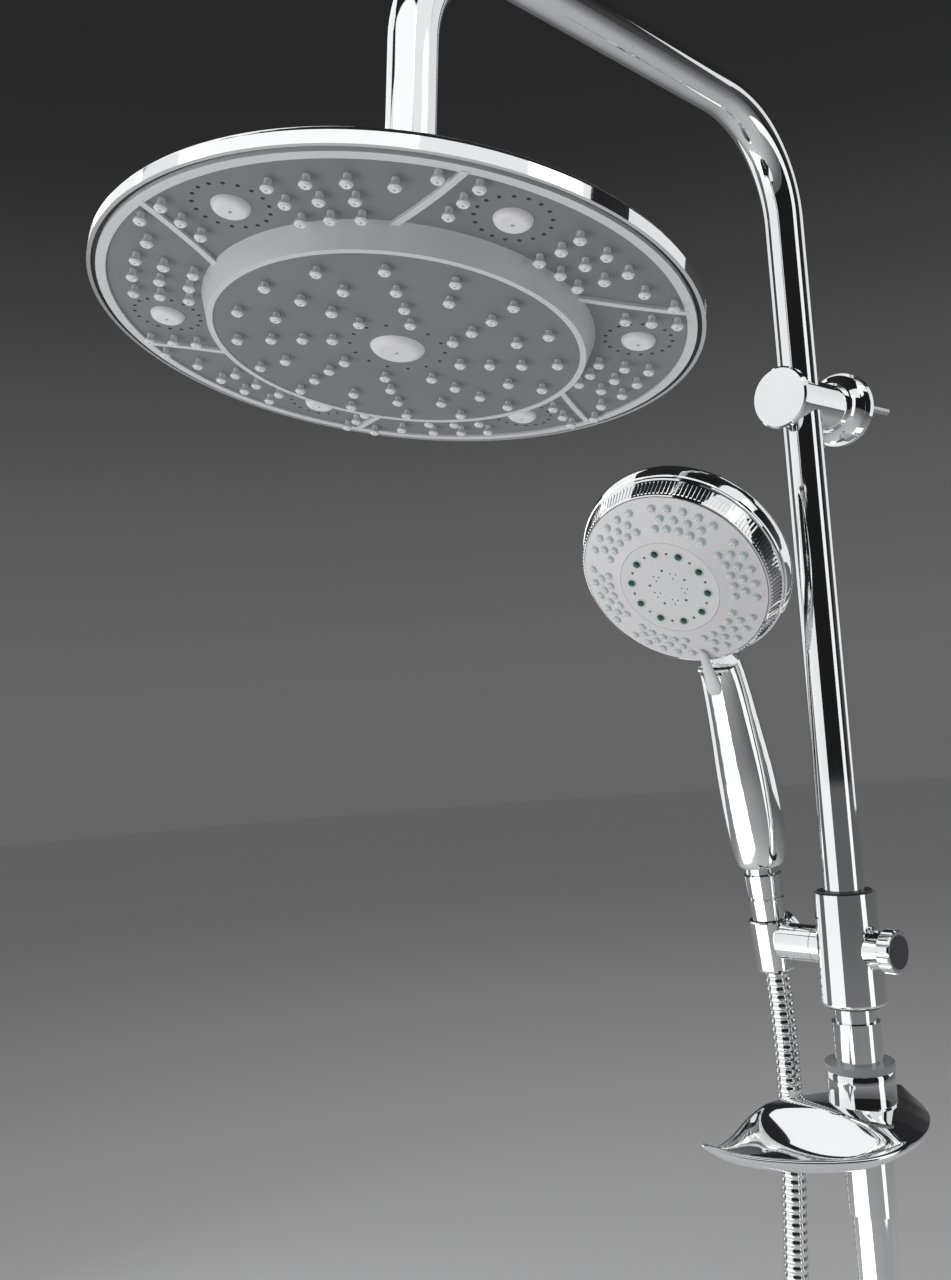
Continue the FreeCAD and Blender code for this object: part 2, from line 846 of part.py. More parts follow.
def slider_knob():
    start = slider_axis() + V(neck_reach + clear, 0, 0)
    knob = rod(knob_radius, start, AXIS_X, knob_length)
    outer = [e for e in knob.Edges if e.Curve.TypeId == "Part::GeomCircle"]
    knob = knob.makeChamfer(0.8, outer)
    for place in around(knob_flutes, knob_radius + flute_radius * 0.45):
        centre = start + V(-1, place.x, place.y)
        knob = knob.cut(rod(flute_radius, centre, AXIS_X, knob_length + 2))
    knob = knob.cut(rod(spindle_radius, start, AXIS_X, knob_length - 1.4))
    seat = start + V(knob_length - 1.4, 0, 0)
    return knob.cut(rod(knob_radius - 2.6, seat, AXIS_X, 3))


def slider_knob_cap():
    start = slider_axis() + V(neck_reach + clear + knob_length - 1.4, 0, 0)
    cap = rod(knob_radius - 2.6, start, AXIS_X, 2.0)
    edge = [e for e in cap.Edges
            if e.Curve.TypeId == "Part::GeomCircle" and e.CenterOfMass.x > start.x + 1]
    return cap.makeFillet(0.6, edge)


# ------------------------------------------------------------- holder and cup
def in_holder(shape, turn=0.0):
    """From the holder's own frame, tilt axis at zero, to its place."""
    return placed(shape, holder_point, handset_lean, turn)


def holder_arm():
    """The tilting arm: a pin in the slider's boss and a round bar."""
    start = slider_axis() - V(holder_boss_reach + clear, 0, 0)
    length = holder_reach - holder_boss_reach - clear - cup_radius + 2.5
    bar = rod(holder_arm_radius, start, -AXIS_X, length)
    pin = rod(pivot_radius, start, AXIS_X, holder_boss_reach + clear - liner_outer - 0.6)
    arm = joined([bar, pin])
    groove = start + V(2.2, 0, 0)
    arm = arm.cut(pipe(pivot_radius + 1, pivot_radius - 1.0, groove, AXIS_X, 2.0))
    return arm.cut(in_holder(cup_outside()))


def holder_pivot_ring():
    """The friction ring in the pin's groove."""
    start = slider_axis() - V(holder_boss_reach + clear - 2.2, 0, 0)
    return pipe(pivot_radius, pivot_radius - 1.0, start, AXIS_X, 2.0)


def cup_bore(height):
    """The nut's cone, carried on through the cup."""
    grow = (nut_top_radius - nut_foot_radius) / (nut_top - nut_foot)
    return nut_foot_radius + grow * (height - nut_foot) + clear


def cup_outside():
    outside = turned(
        (0, -cup_below),
        (cup_radius - 1.2, -cup_below),
        (cup_radius - 0.2, -cup_below + 1.4),
        (cup_radius + 0.6, cup_above - 0.6),
        (cup_radius, cup_above),
        (0, cup_above),
    )
    boss = rod(rear_boss_radius, V(0, 3.5, 0), AXIS_Y, rear_boss_depth)
    rims = [e for e in boss.Edges if e.Curve.TypeId == "Part::GeomCircle"]
    boss = boss.makeFillet(2.4, rims)
    return joined([outside, boss])


def holder_cup():
    inner_low = cup_bore(-cup_below) + cup_liner_wall
    inner_high = cup_bore(cup_above) + cup_liner_wall
    cup = cup_outside()
    height = cup_above + cup_below
    cone = Part.makeCone(inner_low, inner_high, height, V(0, 0, -cup_below), AXIS_Z)
    bore = rod(inner_high, V(0, 0, cup_above), AXIS_Z, 20)
    under = rod(inner_low, V(0, 0, -cup_below - 20), AXIS_Z, 20)
    return in_holder(cup.cut(cone).cut(bore).cut(under))


def holder_cup_liner():
    """The plastic cone in the cup that the hose's nut sits in."""
    low, high = cup_bore(-cup_below), cup_bore(cup_above)
    height = cup_above + cup_below
    base = V(0, 0, -cup_below)
    outer = Part.makeCone(low + cup_liner_wall, high + cup_liner_wall, height, base, AXIS_Z)
    inner = Part.makeCone(low, high, height, base, AXIS_Z)
    return in_holder(outer.cut(inner))


# --------------------------------------------------------------- hand shower
def in_handset(shape):
    return in_holder(shape, handset_turn)


def in_spray(shape):
    """From the spray face's frame, +Z out of the face, into the handset."""
    moved = shape.copy()
    out = V(0, -math.cos(math.radians(spray_tilt)), -math.sin(math.radians(spray_tilt)))
    turn = FreeCAD.Rotation(AXIS_X, 90.0 + spray_tilt)
    spin = FreeCAD.Placement(V(0, spray_offset, spray_height), turn)
    moved.Placement = spin.multiply(moved.Placement)
    assert abs(turn.multVec(AXIS_Z).dot(out)) > 0.99
    return in_handset(moved)


def handle_loft(shrink):
    rings = []
    for forward, height, radius, lean in handle_stations:
        angle = math.radians(lean)
        axis = V(0, -math.sin(angle), math.cos(angle))
        ring = Part.makeCircle(radius - shrink, V(0, forward, height), axis)
        rings.append(Part.Wire(ring))
    return Part.makeLoft(rings, True, False)


def dome_outline(shrink):
    """The chrome back, turned about the spray axis; +Z is out of the face."""
    rim = grip_ring_radius - 0.9 - shrink
    back = -grip_ring_depth - dome_depth + shrink
    return turned(
        (0, -grip_ring_depth),
        (rim, -grip_ring_depth),
        (rim, -grip_ring_depth - 1.5),
        ((rim * 0.74, back * 0.84), (0, back)),
    )


def handset_shell():
    handle = in_handset(handle_loft(0.0))
    dome = in_spray(dome_outline(0.0))
    solid = joined([handle, dome])
    solid = solid.cut(in_handset(handle_loft(handle_wall)))
    solid = solid.cut(in_spray(dome_outline(handle_wall)))
    foot = handle_stations[0][1]
    radius = handle_stations[0][2]
    solid = solid.cut(in_spray(face_room()))
    end = turned(
        (inner_tube_radius + 3, foot),
        (inner_tube_radius + 3, handle_foot),
        (radius - 1.6, handle_foot),
        (radius, foot),
    )
    return solid.fuse(in_handset(end))


def handset_grip_ring():
    """The ribbed chrome ring round the spray face."""
    ring = pipe(grip_ring_radius, spray_radius + 0.2,
                V(0, 0, -grip_ring_depth), AXIS_Z, grip_ring_depth)
    cutter = [
        Part.makeBox(1.2, 1.1, grip_ring_depth - 3.0,
                     V(grip_ring_radius - 0.55, -0.55, -grip_ring_depth + 1.5))
    ]
    cuts = []
    for step in range(grip_ring_ribs):
        notch = cutter[0].copy()
        notch.rotate(V(0, 0, 0), AXIS_Z, step * 360.0 / grip_ring_ribs)
        cuts.append(notch)
    return in_spray(ring.cut(Part.makeCompound(cuts)))


def spray_surface(radius):
    """Height of the gently domed spray face at this radius."""
    if radius <= spray_disc_radius:
        return spray_dome
    share = (spray_radius - radius) / (spray_radius - spray_disc_radius)
    return spray_dome * share


def handset_face():
    """The light spray plate outside the inner disc."""
    plate = turned(
        (spray_disc_radius, spray_dome - 3.0),
        (spray_disc_radius, spray_dome),
        (spray_radius, 0.0),
        (spray_radius, -4.0),
        (spray_disc_radius + 2, spray_dome / 2 - 3.0),
        (spray_disc_radius + 2, spray_dome - 3.0),
    )
    holes = [rod(spray_nozzle_radius - 0.9, p + V(0, 0, -8), AXIS_Z, 20)
             for p in spray_places()]
    return in_spray(plate.cut(Part.makeCompound(holes)))


def spray_places():
    """The outer nozzles stand in groups of three curved rows."""
    spots = []
    for group in range(spray_group_count):
        middle = (group + 0.5) * 360.0 / spray_group_count + spray_turn
        for radius, count, step in spray_rows:
            for index in range(count):
                angle = middle + (index - (count - 1) / 2) * step
                spots.append(polar(radius, angle))
    return spots


def handset_nozzles():
    parts = []
    for place in spray_places():
        face = spray_surface(place.Length)
        tip = rod(spray_nozzle_radius, place + V(0, 0, face - 0.4), AXIS_Z,
                  spray_nozzle_height + 0.4)
        stem = rod(spray_nozzle_radius - 0.9, place + V(0, 0, face - 3.4), AXIS_Z, 3.2)
        whole = joined([tip, stem])
        whole = whole.cut(face_cone())
        parts.append(whole)
    return in_spray(Part.makeCompound(parts))


def face_cone():
    """The plate's upper skin, cut out of what stands on it."""
    inner = spray_nozzle_radius - 0.9
    return turned(
        (spray_disc_radius - 6, spray_dome + 6.0 * spray_dome
         / (spray_radius - spray_disc_radius)),
        (spray_radius, 0.0),
        (spray_radius, -0.6),
        (spray_disc_radius - 6, spray_dome - 2 + inner),
    )


def handset_disc():
    """The inner disc with its ring of large jets and small dots."""
    low = spray_dome - 3.0
    disc = rod(spray_disc_radius - 0.2, V(0, 0, low), AXIS_Z, 3.0)
    holes = []
    for place in around(jet_count, jet_circle, 90.0):
        holes.append(rod(jet_radius, place + V(0, 0, low - 1), AXIS_Z, 6))
    for place in around(jet_count, jet_circle, 90.0 + 180.0 / jet_count):
        holes.append(rod(small_hole_radius, place + V(0, 0, low - 1), AXIS_Z, 6))
    for place in around(5, 11.0, 18):
        holes.append(rod(small_hole_radius, place + V(0, 0, low - 1), AXIS_Z, 6))
    for centre in around(5, 8.6, 54):
        for place in around(3, 1.8, 10):
            holes.append(rod(0.45, centre + place + V(0, 0, low - 1), AXIS_Z, 6))
    return in_spray(disc.cut(Part.makeCompound(holes)))


def handset_jet_rings():
    """The soft sleeves in the disc's large jets."""
    low = spray_dome - 3.0
    parts = [pipe(jet_radius, jet_radius - 0.6, place + V(0, 0, low), AXIS_Z, 3.3)
             for place in around(jet_count, jet_circle, 90.0)]
    return in_spray(Part.makeCompound(parts))


def face_room():
    """The room that the ring and the spray plate take out of the handle."""
    reach = grip_ring_radius + clear
    ring = rod(reach, V(0, 0, -grip_ring_depth), AXIS_Z, grip_ring_depth + 1)
    chin = Part.makeBox(2 * reach, 2 * reach, 40, V(-reach, -reach - chin_depth, -1))
    return ring.fuse(chin)


def handset_selector():
    """The pale lever: a foot on the spray plate and a blade to the handle."""
    start = -spray_radius + 4.0
    rim = -grip_ring_radius - 1.6
    tip = start - lever_length
    side = [
        (start, 1.0),
        (start, 1.0 + lever_thickness),
        (rim + 1.0, 1.2 + lever_thickness),
        (tip, lever_rise + lever_thickness * 0.4),
        (tip - 0.4, lever_rise - lever_thickness * 0.6),
        (rim, 0.8),
    ]
    profile = [V(-lever_width, y, z) for y, z in side]
    blade = Part.Face(Part.makePolygon(profile + [profile[0]]))
    blade = blade.extrude(V(2 * lever_width, 0, 0))
    half = lever_width / 2
    centre = tip + half
    corners = [
        V(-half, centre, -5),
        V(half, centre, -5),
        V(half * 0.6, start + 1, -5),
        V(-half * 0.6, start + 1, -5),
    ]
    plan = Part.Face(Part.makePolygon(corners + [corners[0]]))
    plan = plan.extrude(V(0, 0, 20))
    plan = joined([plan, rod(half, V(0, centre, -5), AXIS_Z, 20)])
    foot = Part.makeBox(half * 1.2, 4.0, 3.0, V(-half * 0.6, start - 3.0, -1.0))
    lever = joined([blade.common(plan), foot])
    return in_spray(lever.cut(face_skin()))


def face_skin():
    """All that lies behind the spray plate's outer skin."""
    return turned(
        (0, -20.0),
        (spray_radius, -20.0),
        (spray_radius, 0.0),
        (spray_disc_radius, spray_dome),
        (0, spray_dome),
    )


def handset_rotor():
    """The ported plate that sends the water to one ring of nozzles."""
    low = spray_dome - 3.0 - 3.6
    plate = rod(spray_disc_radius - 2, V(0, 0, low), AXIS_Z, 3.6)
    ports = [rod(3.2, p + V(0, 0, low - 1), AXIS_Z, 7) for p in around(5, 16.0)]
    return in_spray(plate.cut(Part.makeCompound(ports)))


def handset_waterway():
    """The plastic tube inside the handle."""
    foot = handle_stations[0][1] + 1.0
    last = handle_stations[-5][1]
    outer = rod(inner_tube_radius, V(0, 0, foot), AXIS_Z, last - foot)
    inner = rod(inner_tube_radius - 1.5, V(0, 0, foot), AXIS_Z, last - foot)
    return in_handset(outer.cut(inner))


def handset_inlet():
    """The half-inch threaded tail that the hose's nut screws on."""
    tail = nut_top - 11.0
    outer = thread_radius - 3.0 - running
    nipple = pipe(outer, 4.5, V(0, 0, tail), AXIS_Z, handle_foot - tail)
    flange = pipe(inner_tube_radius + 3, 4.5, V(0, 0, handle_foot), AXIS_Z, 3.5)
    return in_handset(joined([nipple, flange]))


# ---------------------------------------------------------------------- hose
def hose_cone_nut():
    """The long conical nut that rests in the cup."""
    tail = nut_top - 11.0
    grow = (nut_top_radius - nut_foot_radius) / (nut_top - nut_foot)
    groove = 24.0
    groove_radius = nut_foot_radius + grow * (groove - nut_foot)
    nut = turned(
        (4.5, nut_foot),
        (nut_foot_radius, nut_foot),
        (groove_radius, groove),
        (groove_radius - 0.7, groove + 0.4),
        (groove_radius - 0.7, groove + 1.4),
        (groove_radius + 0.1, groove + 1.8),
        (nut_top_radius, nut_top),
        (thread_radius - 3.0, nut_top),
        (thread_radius - 3.0, tail - washer_thickness),
        (4.5, tail - washer_thickness),
    )
    return in_handset(nut)


def hose_washers():
    """One flat seal in each nut."""
    tail = nut_top - 11.0
    upper = pipe(thread_radius - 3.0, 4.5, V(0, 0, tail - washer_thickness),
                 AXIS_Z, washer_thickness)
    upper = in_handset(upper)
    low = V(0, riser_y, outlet_foot - 6.0 - washer_thickness)
    lower = pipe(thread_radius - 1.6, 4.5, low, AXIS_Z, washer_thickness)
    return [upper, lower]


def hose_base_nut():
    """The knurled nut under the diverter's outlet."""
    top = outlet_foot - clear
    low = hose_end.z
    start = V(0, riser_y, low)
    nut = rod(base_nut_radius, start, AXIS_Z, top - low)
    rims = [e for e in nut.Edges if e.Curve.TypeId == "Part::GeomCircle"]
    nut = nut.makeChamfer(1.2, rims)
    for place in around(24, base_nut_radius):
        nut = nut.cut(rod(0.8, start + place + V(0, 0, -1), AXIS_Z, top - low + 2))
    seat = outlet_foot - 6.0 - washer_thickness
    nut = nut.cut(rod(thread_radius, V(0, riser_y, seat), AXIS_Z, 40))
    return nut.cut(rod(4.5, start, AXIS_Z, 60))


def hose_route():
    """From the cone nut straight down, out round the dish, and in a free loop
    under the diverter back up into its outlet."""
    top = holder_point + placed_vector(V(0, 0, nut_foot))
    points = [top, top + placed_vector(V(0, 0, -40))]
    for x, forward, z in hose_points:
        points.append(V(x, riser_y + forward, z))
    for step in range(6):
        angle = math.radians(195 + 30 * step)
        reach = loop_radius / math.cos(math.radians(15))
        forward = loop_forward + step * 1.5
        points.append(V(loop_side + reach * math.cos(angle), riser_y + forward,
                        loop_height + reach * math.sin(angle)))
    for x, forward, z in hose_return:
        points.append(V(x, riser_y + forward, z))
    points.append(hose_end)
    return points


def placed_vector(vector):
    return FreeCAD.Rotation(AXIS_X, handset_lean).multVec(vector)


def along(edges, lengths, distance):
    """The point and the direction at this distance along the route."""
    for edge, length in zip(edges, lengths):
        if distance <= length or edge is edges[-1]:
            at = edge.getParameterByLength(min(distance, length))
            return edge.valueAt(at), edge.tangentAt(at)
        distance -= length


def hose_ring(edges, lengths, distance, radius):
    """A circle square to the route, its seam kept towards the wall."""
    centre, axis = along(edges, lengths, distance)
    side = AXIS_Y - axis * AXIS_Y.dot(axis)
    side.normalize()
    frame = FreeCAD.Rotation(side, axis.cross(side), axis, "XYZ")
    ring = Part.Circle(V(0, 0, 0), AXIS_Z, radius).toShape()
    ring.Placement = FreeCAD.Placement(centre, frame)
    return Part.Wire(ring)


def hose():
    """The metal hose: a bore and a row of rings, plain at both ends."""
    points = hose_route()
    route, radii = rounded_route(points)
    print("hose length %.1f" % route.Length)
    print("hose radii", " ".join("%.0f" % r for r in radii))
    start = points[0]
    axis = points[1] - points[0]
    edges = route.Edges
    lengths = [edge.Length for edge in edges]
    crest = hose_diameter / 2
    root = crest - rib_depth
    pitch = (route.Length - 2 * hose_diameter) / hose_ribs
    rings = [hose_ring(edges, lengths, 0.0, root)]
    for index in range(hose_ribs):
        here = hose_diameter + index * pitch
        for share, radius in ((0.08, root), (0.30, crest), (0.70, crest), (0.92, root)):
            rings.append(hose_ring(edges, lengths, here + share * pitch, radius))
    rings.append(hose_ring(edges, lengths, route.Length, root))
    outside = Part.makeLoft(rings, True, True)
    inside = swept(route, start, axis, hose_bore / 2)
    tube = outside.cut(inside)
    print("hose rings %d, pitch %.2f" % (hose_ribs, pitch))
    section = math.pi * ((crest - rib_depth * 0.38) ** 2 - (hose_bore / 2) ** 2)
    print("hose volume over mean section times length %.4f"
          % (tube.Volume / (section * route.Length)))
    return tube


# ----------------------------------------------------------------- soap dish
def dish_section(place, half_width, depth, rise, shrink):
    """One cross section of the leaf, an arc closed by its rim line."""
    top = dish_rim_height + rise
    y = riser_y + place
    left = V(-half_width + shrink, y, top)
    right = V(half_width - shrink, y, top)
    low = V(0, y, top - depth + shrink)
    arc = Part.Arc(left, low, right).toShape()
    line = Part.makeLine(right, left)
    return Part.Wire([arc, line])


def dish_tray():
    outer = [dish_section(p, w, d, r, 0.0) for p, w, d, r in dish_stations]
    bowl = Part.makeLoft(outer, True, False)
    inner = []
    for place, width, depth, rise in dish_stations[1:-2]:
        inner.append(dish_section(place, width, depth, rise + 0.01, dish_wall))
    hollow = Part.makeLoft(inner, True, False)
    bowl = bowl.cut(hollow)
    collar = rod(collar_radius, V(0, riser_y, collar_bottom), AXIS_Z,
                 collar_top - clear - collar_bottom)
    bowl = joined([bowl, collar])
    bore = liner_outer_dish() + running
    bowl = bowl.cut(rod(bore, V(0, riser_y, collar_bottom - 5), AXIS_Z, 60))
    return bowl.cut(clamp_screw_blank())


def liner_outer_dish():
    return tube_radius + running + 1.6


def dish_bush():
    """The plastic bush that grips the riser; the dish turns on it."""
    low = collar_bottom - clear - 1.4
    foot = V(0, riser_y, low)
    height = collar_top - low
    bush = pipe(liner_outer_dish(), tube_radius + running, foot, AXIS_Z, height)
    lip = pipe(liner_outer_dish() + 1.8, tube_radius + running, foot, AXIS_Z, 1.4)
    return joined([bush, lip])


def dish_gasket():
    """The grey ring on top of the collar."""
    start = V(0, riser_y, collar_top)
    return pipe(gasket_radius, tube_radius + running, start, AXIS_Z, gasket_height)


def clamp_screw_blank():
    start = V(0, riser_y + liner_outer_dish() + 0.1, (collar_top + dish_rim_height) / 2)
    return rod(clamp_screw_radius, start, AXIS_Y, 8)


def dish_clamp_screw():
    limit = rod(collar_radius - 0.4, V(0, riser_y, collar_bottom), AXIS_Z, 60)
    screw = clamp_screw_blank().common(limit)
    height = (collar_top + dish_rim_height) / 2
    socket = rod(1.2, V(0, riser_y + collar_radius - 2.4, height), AXIS_Y, 4)
    return screw.cut(socket)


# ------------------------------------------------------------------ diverter
def diverter_axis(height=0.0):
    return V(0, riser_y, diverter_height + height)


def diverter_body():
    """The T-shaped body between inlet, riser and hose outlet."""
    height = diverter_above + diverter_below
    body = rod(diverter_radius, diverter_axis(-diverter_below), AXIS_Z, height)
    rims = [e for e in body.Edges if e.Curve.TypeId == "Part::GeomCircle"]
    body = body.makeFillet(2.0, rims)
    inlet = rod(inlet_radius, diverter_axis(), AXIS_Y, wall_gap)
    spigot = rod(thread_radius, V(0, 0, diverter_height), AXIS_Y, spigot_length)
    bonnet = rod(cartridge_radius + 3, diverter_axis(), -AXIS_Y, diverter_radius + 5)
    outlet = rod(thread_radius, diverter_axis(-diverter_below - 6), AXIS_Z, 8)
    body = joined([body, inlet, spigot, bonnet, outlet])
    body = body.cut(rod(7.0, diverter_axis(), AXIS_Y, wall_gap + spigot_length + 1))
    pocket = rod(cartridge_radius, diverter_axis() - V(0, diverter_radius + 5, 0),
                 AXIS_Y, diverter_radius + 5 + 6)
    body = body.cut(pocket)
    seat = diverter_above - gland_height / 2
    body = body.cut(rod(tube_radius, diverter_axis(seat), AXIS_Z, 40))
    body = body.cut(rod(tube_bore, diverter_axis(0), AXIS_Z, seat + 1))
    return body.cut(rod(5.0, diverter_axis(-diverter_below - 8), AXIS_Z,
                        diverter_below + 8))


def diverter_gland():
    """The nut that holds the riser in the body."""
    start = diverter_axis(diverter_above)
    nut = prism(6, 2 * gland_radius, start, gland_height / 2 + 2, tube_radius)
    limit = turned(
        (0, 0),
        (gland_radius * 1.13, 0),
        (gland_radius * 1.13, gland_height / 2),
        (gland_radius * 0.98, gland_height / 2 + 2),
        (0, gland_height / 2 + 2),
    )
    limit.translate(start)
    return nut.common(limit)


def diverter_rose():
    """The round plate that covers the hole in the wall."""
    rose = turned(
        (inlet_radius, 0),
        (rose_radius, 0),
        (rose_radius, 2.0),
        ((rose_radius - 5.0, 5.6), (inlet_radius + 2.0, rose_depth)),
        (inlet_radius, rose_depth),
    )
    rose.rotate(V(0, 0, 0), AXIS_X, 90)
    rose.translate(V(0, 0, diverter_height))
    return rose


def diverter_cartridge():
    """The ceramic valve in its pocket."""
    front = diverter_axis() - V(0, diverter_radius + 5, 0)
    valve = rod(cartridge_radius, front, AXIS_Y, diverter_radius + 5 + 6)
    port = rod(5.0, diverter_axis(-cartridge_radius - 2), AXIS_Z,
               2 * cartridge_radius + 4)
    valve = valve.cut(port).cut(rod(4.0, diverter_axis(), AXIS_Y, 10))
    spline = rod(3.0 + running, front - V(0, 1, 0), AXIS_Y, 9)
    return valve.cut(spline)


def diverter_spindle():
    return rod(3.0, spindle_start(), AXIS_Y, diverter_knob_gap + 8 + 7.5)


def spindle_start():
    return diverter_axis() - V(0, diverter_radius + 5 + diverter_knob_gap + 8, 0)


def diverter_knob():
    near = diverter_axis() - V(0, diverter_radius + 5 + diverter_knob_gap - 4, 0)
    knob = turned(
        (0, 0),
        (diverter_knob_radius - 3.0, 0),
        (diverter_knob_radius - 1.0, 4.0),
        (diverter_knob_radius, diverter_knob_length - 2.0),
        (diverter_knob_radius - 1.6, diverter_knob_length),
        (0, diverter_knob_length),
    )
    for place in around(16, diverter_knob_radius + 1.0):
        knob = knob.cut(rod(1.9, place + V(0, 0, 5), AXIS_Z, diverter_knob_length))
    blade = Part.makeBox(5, 8, 5, V(-2.5, diverter_knob_radius - 4, 8))
    knob = joined([knob, blade])
    knob.rotate(V(0, 0, 0), AXIS_X, 90)
    knob.translate(near)
    return knob.cut(rod(3.0, spindle_start(), AXIS_Y, 40))


# ------------------------------------------------------------------ all nodes
def build():
    washers = hose_washers()
    return {
        "riser_tube": riser_tube(),
        "arm_tube": arm_tube(),
        "joint_sleeve": joint_sleeve(),
        "joint_seals": joint_seals(),
        "bracket_barrel": bracket_barrel(),
        "bracket_cap": bracket_cap(),
        "bracket_flange": bracket_flange(),
        "bracket_wall_plate": bracket_wall_plate(),
        "bracket_wall_screws": bracket_wall_screws(),
        "bracket_grub_screw": bracket_grub_screw(),
        "arm_ball": arm_ball(),
        "ball_filter": ball_filter(),
        "head_ball_seat": head_ball_seat(),
        "head_ball_nut": head_ball_nut(),
        "head_shell": head_shell(),
        "head_gap_ring": head_gap_ring(),
        "head_frame": head_frame(),
        "head_face": head_face(),
        "head_disc": head_disc(),
        "head_buttons": head_buttons(),
        "head_nozzles": head_nozzles(),
        "head_disc_nozzles": head_disc_nozzles(),
        "head_chamber_plate": head_chamber_plate(),
        "head_chamber_seal": head_chamber_seal(),
        "head_screws": head_screws(),
        "slider_body": slider_body(),
        "slider_liner": slider_liner(),
        "slider_pad": slider_pad(),
        "slider_spindle": slider_spindle(),
        "slider_knob": slider_knob(),
        "slider_knob_cap": slider_knob_cap(),
        "holder_arm": holder_arm(),
        "holder_pivot_ring": holder_pivot_ring(),
        "holder_cup": holder_cup(),
        "holder_cup_liner": holder_cup_liner(),
        "handset_shell": handset_shell(),
        "handset_grip_ring": handset_grip_ring(),
        "handset_face": handset_face(),
        "handset_nozzles": handset_nozzles(),
        "handset_disc": handset_disc(),
        "handset_jet_rings": handset_jet_rings(),
        "handset_selector": handset_selector(),
        "handset_rotor": handset_rotor(),
        "handset_waterway": handset_waterway(),
        "handset_inlet": handset_inlet(),
        "hose_cone_nut": hose_cone_nut(),
        "hose_upper_washer": washers[0],
        "hose_lower_washer": washers[1],
        "hose_base_nut": hose_base_nut(),
        "hose": hose(),
        "dish_tray": dish_tray(),
        "dish_bush": dish_bush(),
        "dish_gasket": dish_gasket(),
        "dish_clamp_screw": dish_clamp_screw(),
        "diverter_body": diverter_body(),
        "diverter_gland": diverter_gland(),
        "diverter_rose": diverter_rose(),
        "diverter_cartridge": diverter_cartridge(),
        "diverter_spindle": diverter_spindle(),
        "diverter_knob": diverter_knob(),
    }


os.makedirs("parts", exist_ok=True)
for name, shape in build().items():
    print("%-24s solids %3d valid %s volume %.1f"
          % (name, len(shape.Solids), shape.isValid(), shape.Volume))
    shape.exportStep("parts/%s.step" % name)
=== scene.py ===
# %% [markdown]
# # A shower column, dressed for its picture
# The real thing is chromed brass tube, a wide rain head on a ball joint, a
# hand shower on a ringed metal hose and a leaf-shaped soap dish. The CAD model
# already holds every turned and drilled part at its real size, so this lesson
# adds what CAD leaves plain: the hose's rings, the hand shower's flowing
# skin, the finishes and the light. Lengths are metres, the wall is the plane
# y = 0 and the user stands on the -Y side.

import json
import math

import bmesh
import bpy
from mathutils import Matrix, Vector


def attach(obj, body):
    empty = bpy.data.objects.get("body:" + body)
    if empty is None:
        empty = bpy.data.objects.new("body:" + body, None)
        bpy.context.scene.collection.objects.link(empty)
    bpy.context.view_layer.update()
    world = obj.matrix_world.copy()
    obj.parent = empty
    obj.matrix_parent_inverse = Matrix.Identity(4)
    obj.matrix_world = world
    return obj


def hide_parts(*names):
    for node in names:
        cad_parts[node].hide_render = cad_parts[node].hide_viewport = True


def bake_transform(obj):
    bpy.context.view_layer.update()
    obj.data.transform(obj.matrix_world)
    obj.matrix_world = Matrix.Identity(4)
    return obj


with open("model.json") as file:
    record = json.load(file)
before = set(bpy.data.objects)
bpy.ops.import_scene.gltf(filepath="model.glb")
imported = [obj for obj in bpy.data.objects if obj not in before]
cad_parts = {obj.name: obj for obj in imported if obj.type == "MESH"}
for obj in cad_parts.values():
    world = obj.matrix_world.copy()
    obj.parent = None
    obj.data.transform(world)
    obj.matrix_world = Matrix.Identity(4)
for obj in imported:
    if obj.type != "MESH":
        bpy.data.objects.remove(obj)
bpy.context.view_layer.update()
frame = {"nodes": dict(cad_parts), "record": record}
nodes = frame["nodes"]
bpy.ops.object.select_all(action="DESELECT")

# %% [markdown]
# ## The camera
# The photograph was taken from the right, a little below the rain head, with
# a normal lens. Its place was found by fitting the outlines of the riser, the
# bent arm, the head and the slider, so the three directions below are the
# camera's own right, up and backward directions.

# %% Camera
CAMERA_PLACE = Vector((0.3635, -0.62605, -0.1637))
CAMERA_RIGHT = Vector((0.66452528, 0.74389624, -0.07088402))
CAMERA_UP = Vector((0.09629661, 0.00881882, 0.99531361))
CAMERA_BACK = Vector((0.74103516, -0.66823695, -0.06577436))
IMAGE_WIDTH = 951
FOCAL_PIXELS = 1200.0

camera_data = bpy.data.cameras.new("camera")
camera_data.sensor_fit = "HORIZONTAL"
camera_data.sensor_width = 36.0
camera_data.lens = camera_data.sensor_width * FOCAL_PIXELS / IMAGE_WIDTH
camera_data.clip_start = 0.01
camera_data.clip_end = 50.0
camera = bpy.data.objects.new("camera", camera_data)
bpy.context.scene.collection.objects.link(camera)
turn = Matrix((CAMERA_RIGHT, CAMERA_UP, CAMERA_BACK)).transposed()
camera.matrix_world = Matrix.Translation(CAMERA_PLACE) @ turn.to_4x4()
bpy.context.scene.camera = camera
print("lens", round(camera_data.lens, 2), "mm")

# %% [markdown]
# ## The hose
# A metal shower hose is a strip wound into interlocking rings, so it bends
# evenly and never kinks. Its line is one smooth curve through a few control
# points: straight out of the conical nut, down past the dish, and round in a
# wide loop under the diverter. The rings are then laid along that curve at
# their real pitch, which keeps them even where the hose bends.

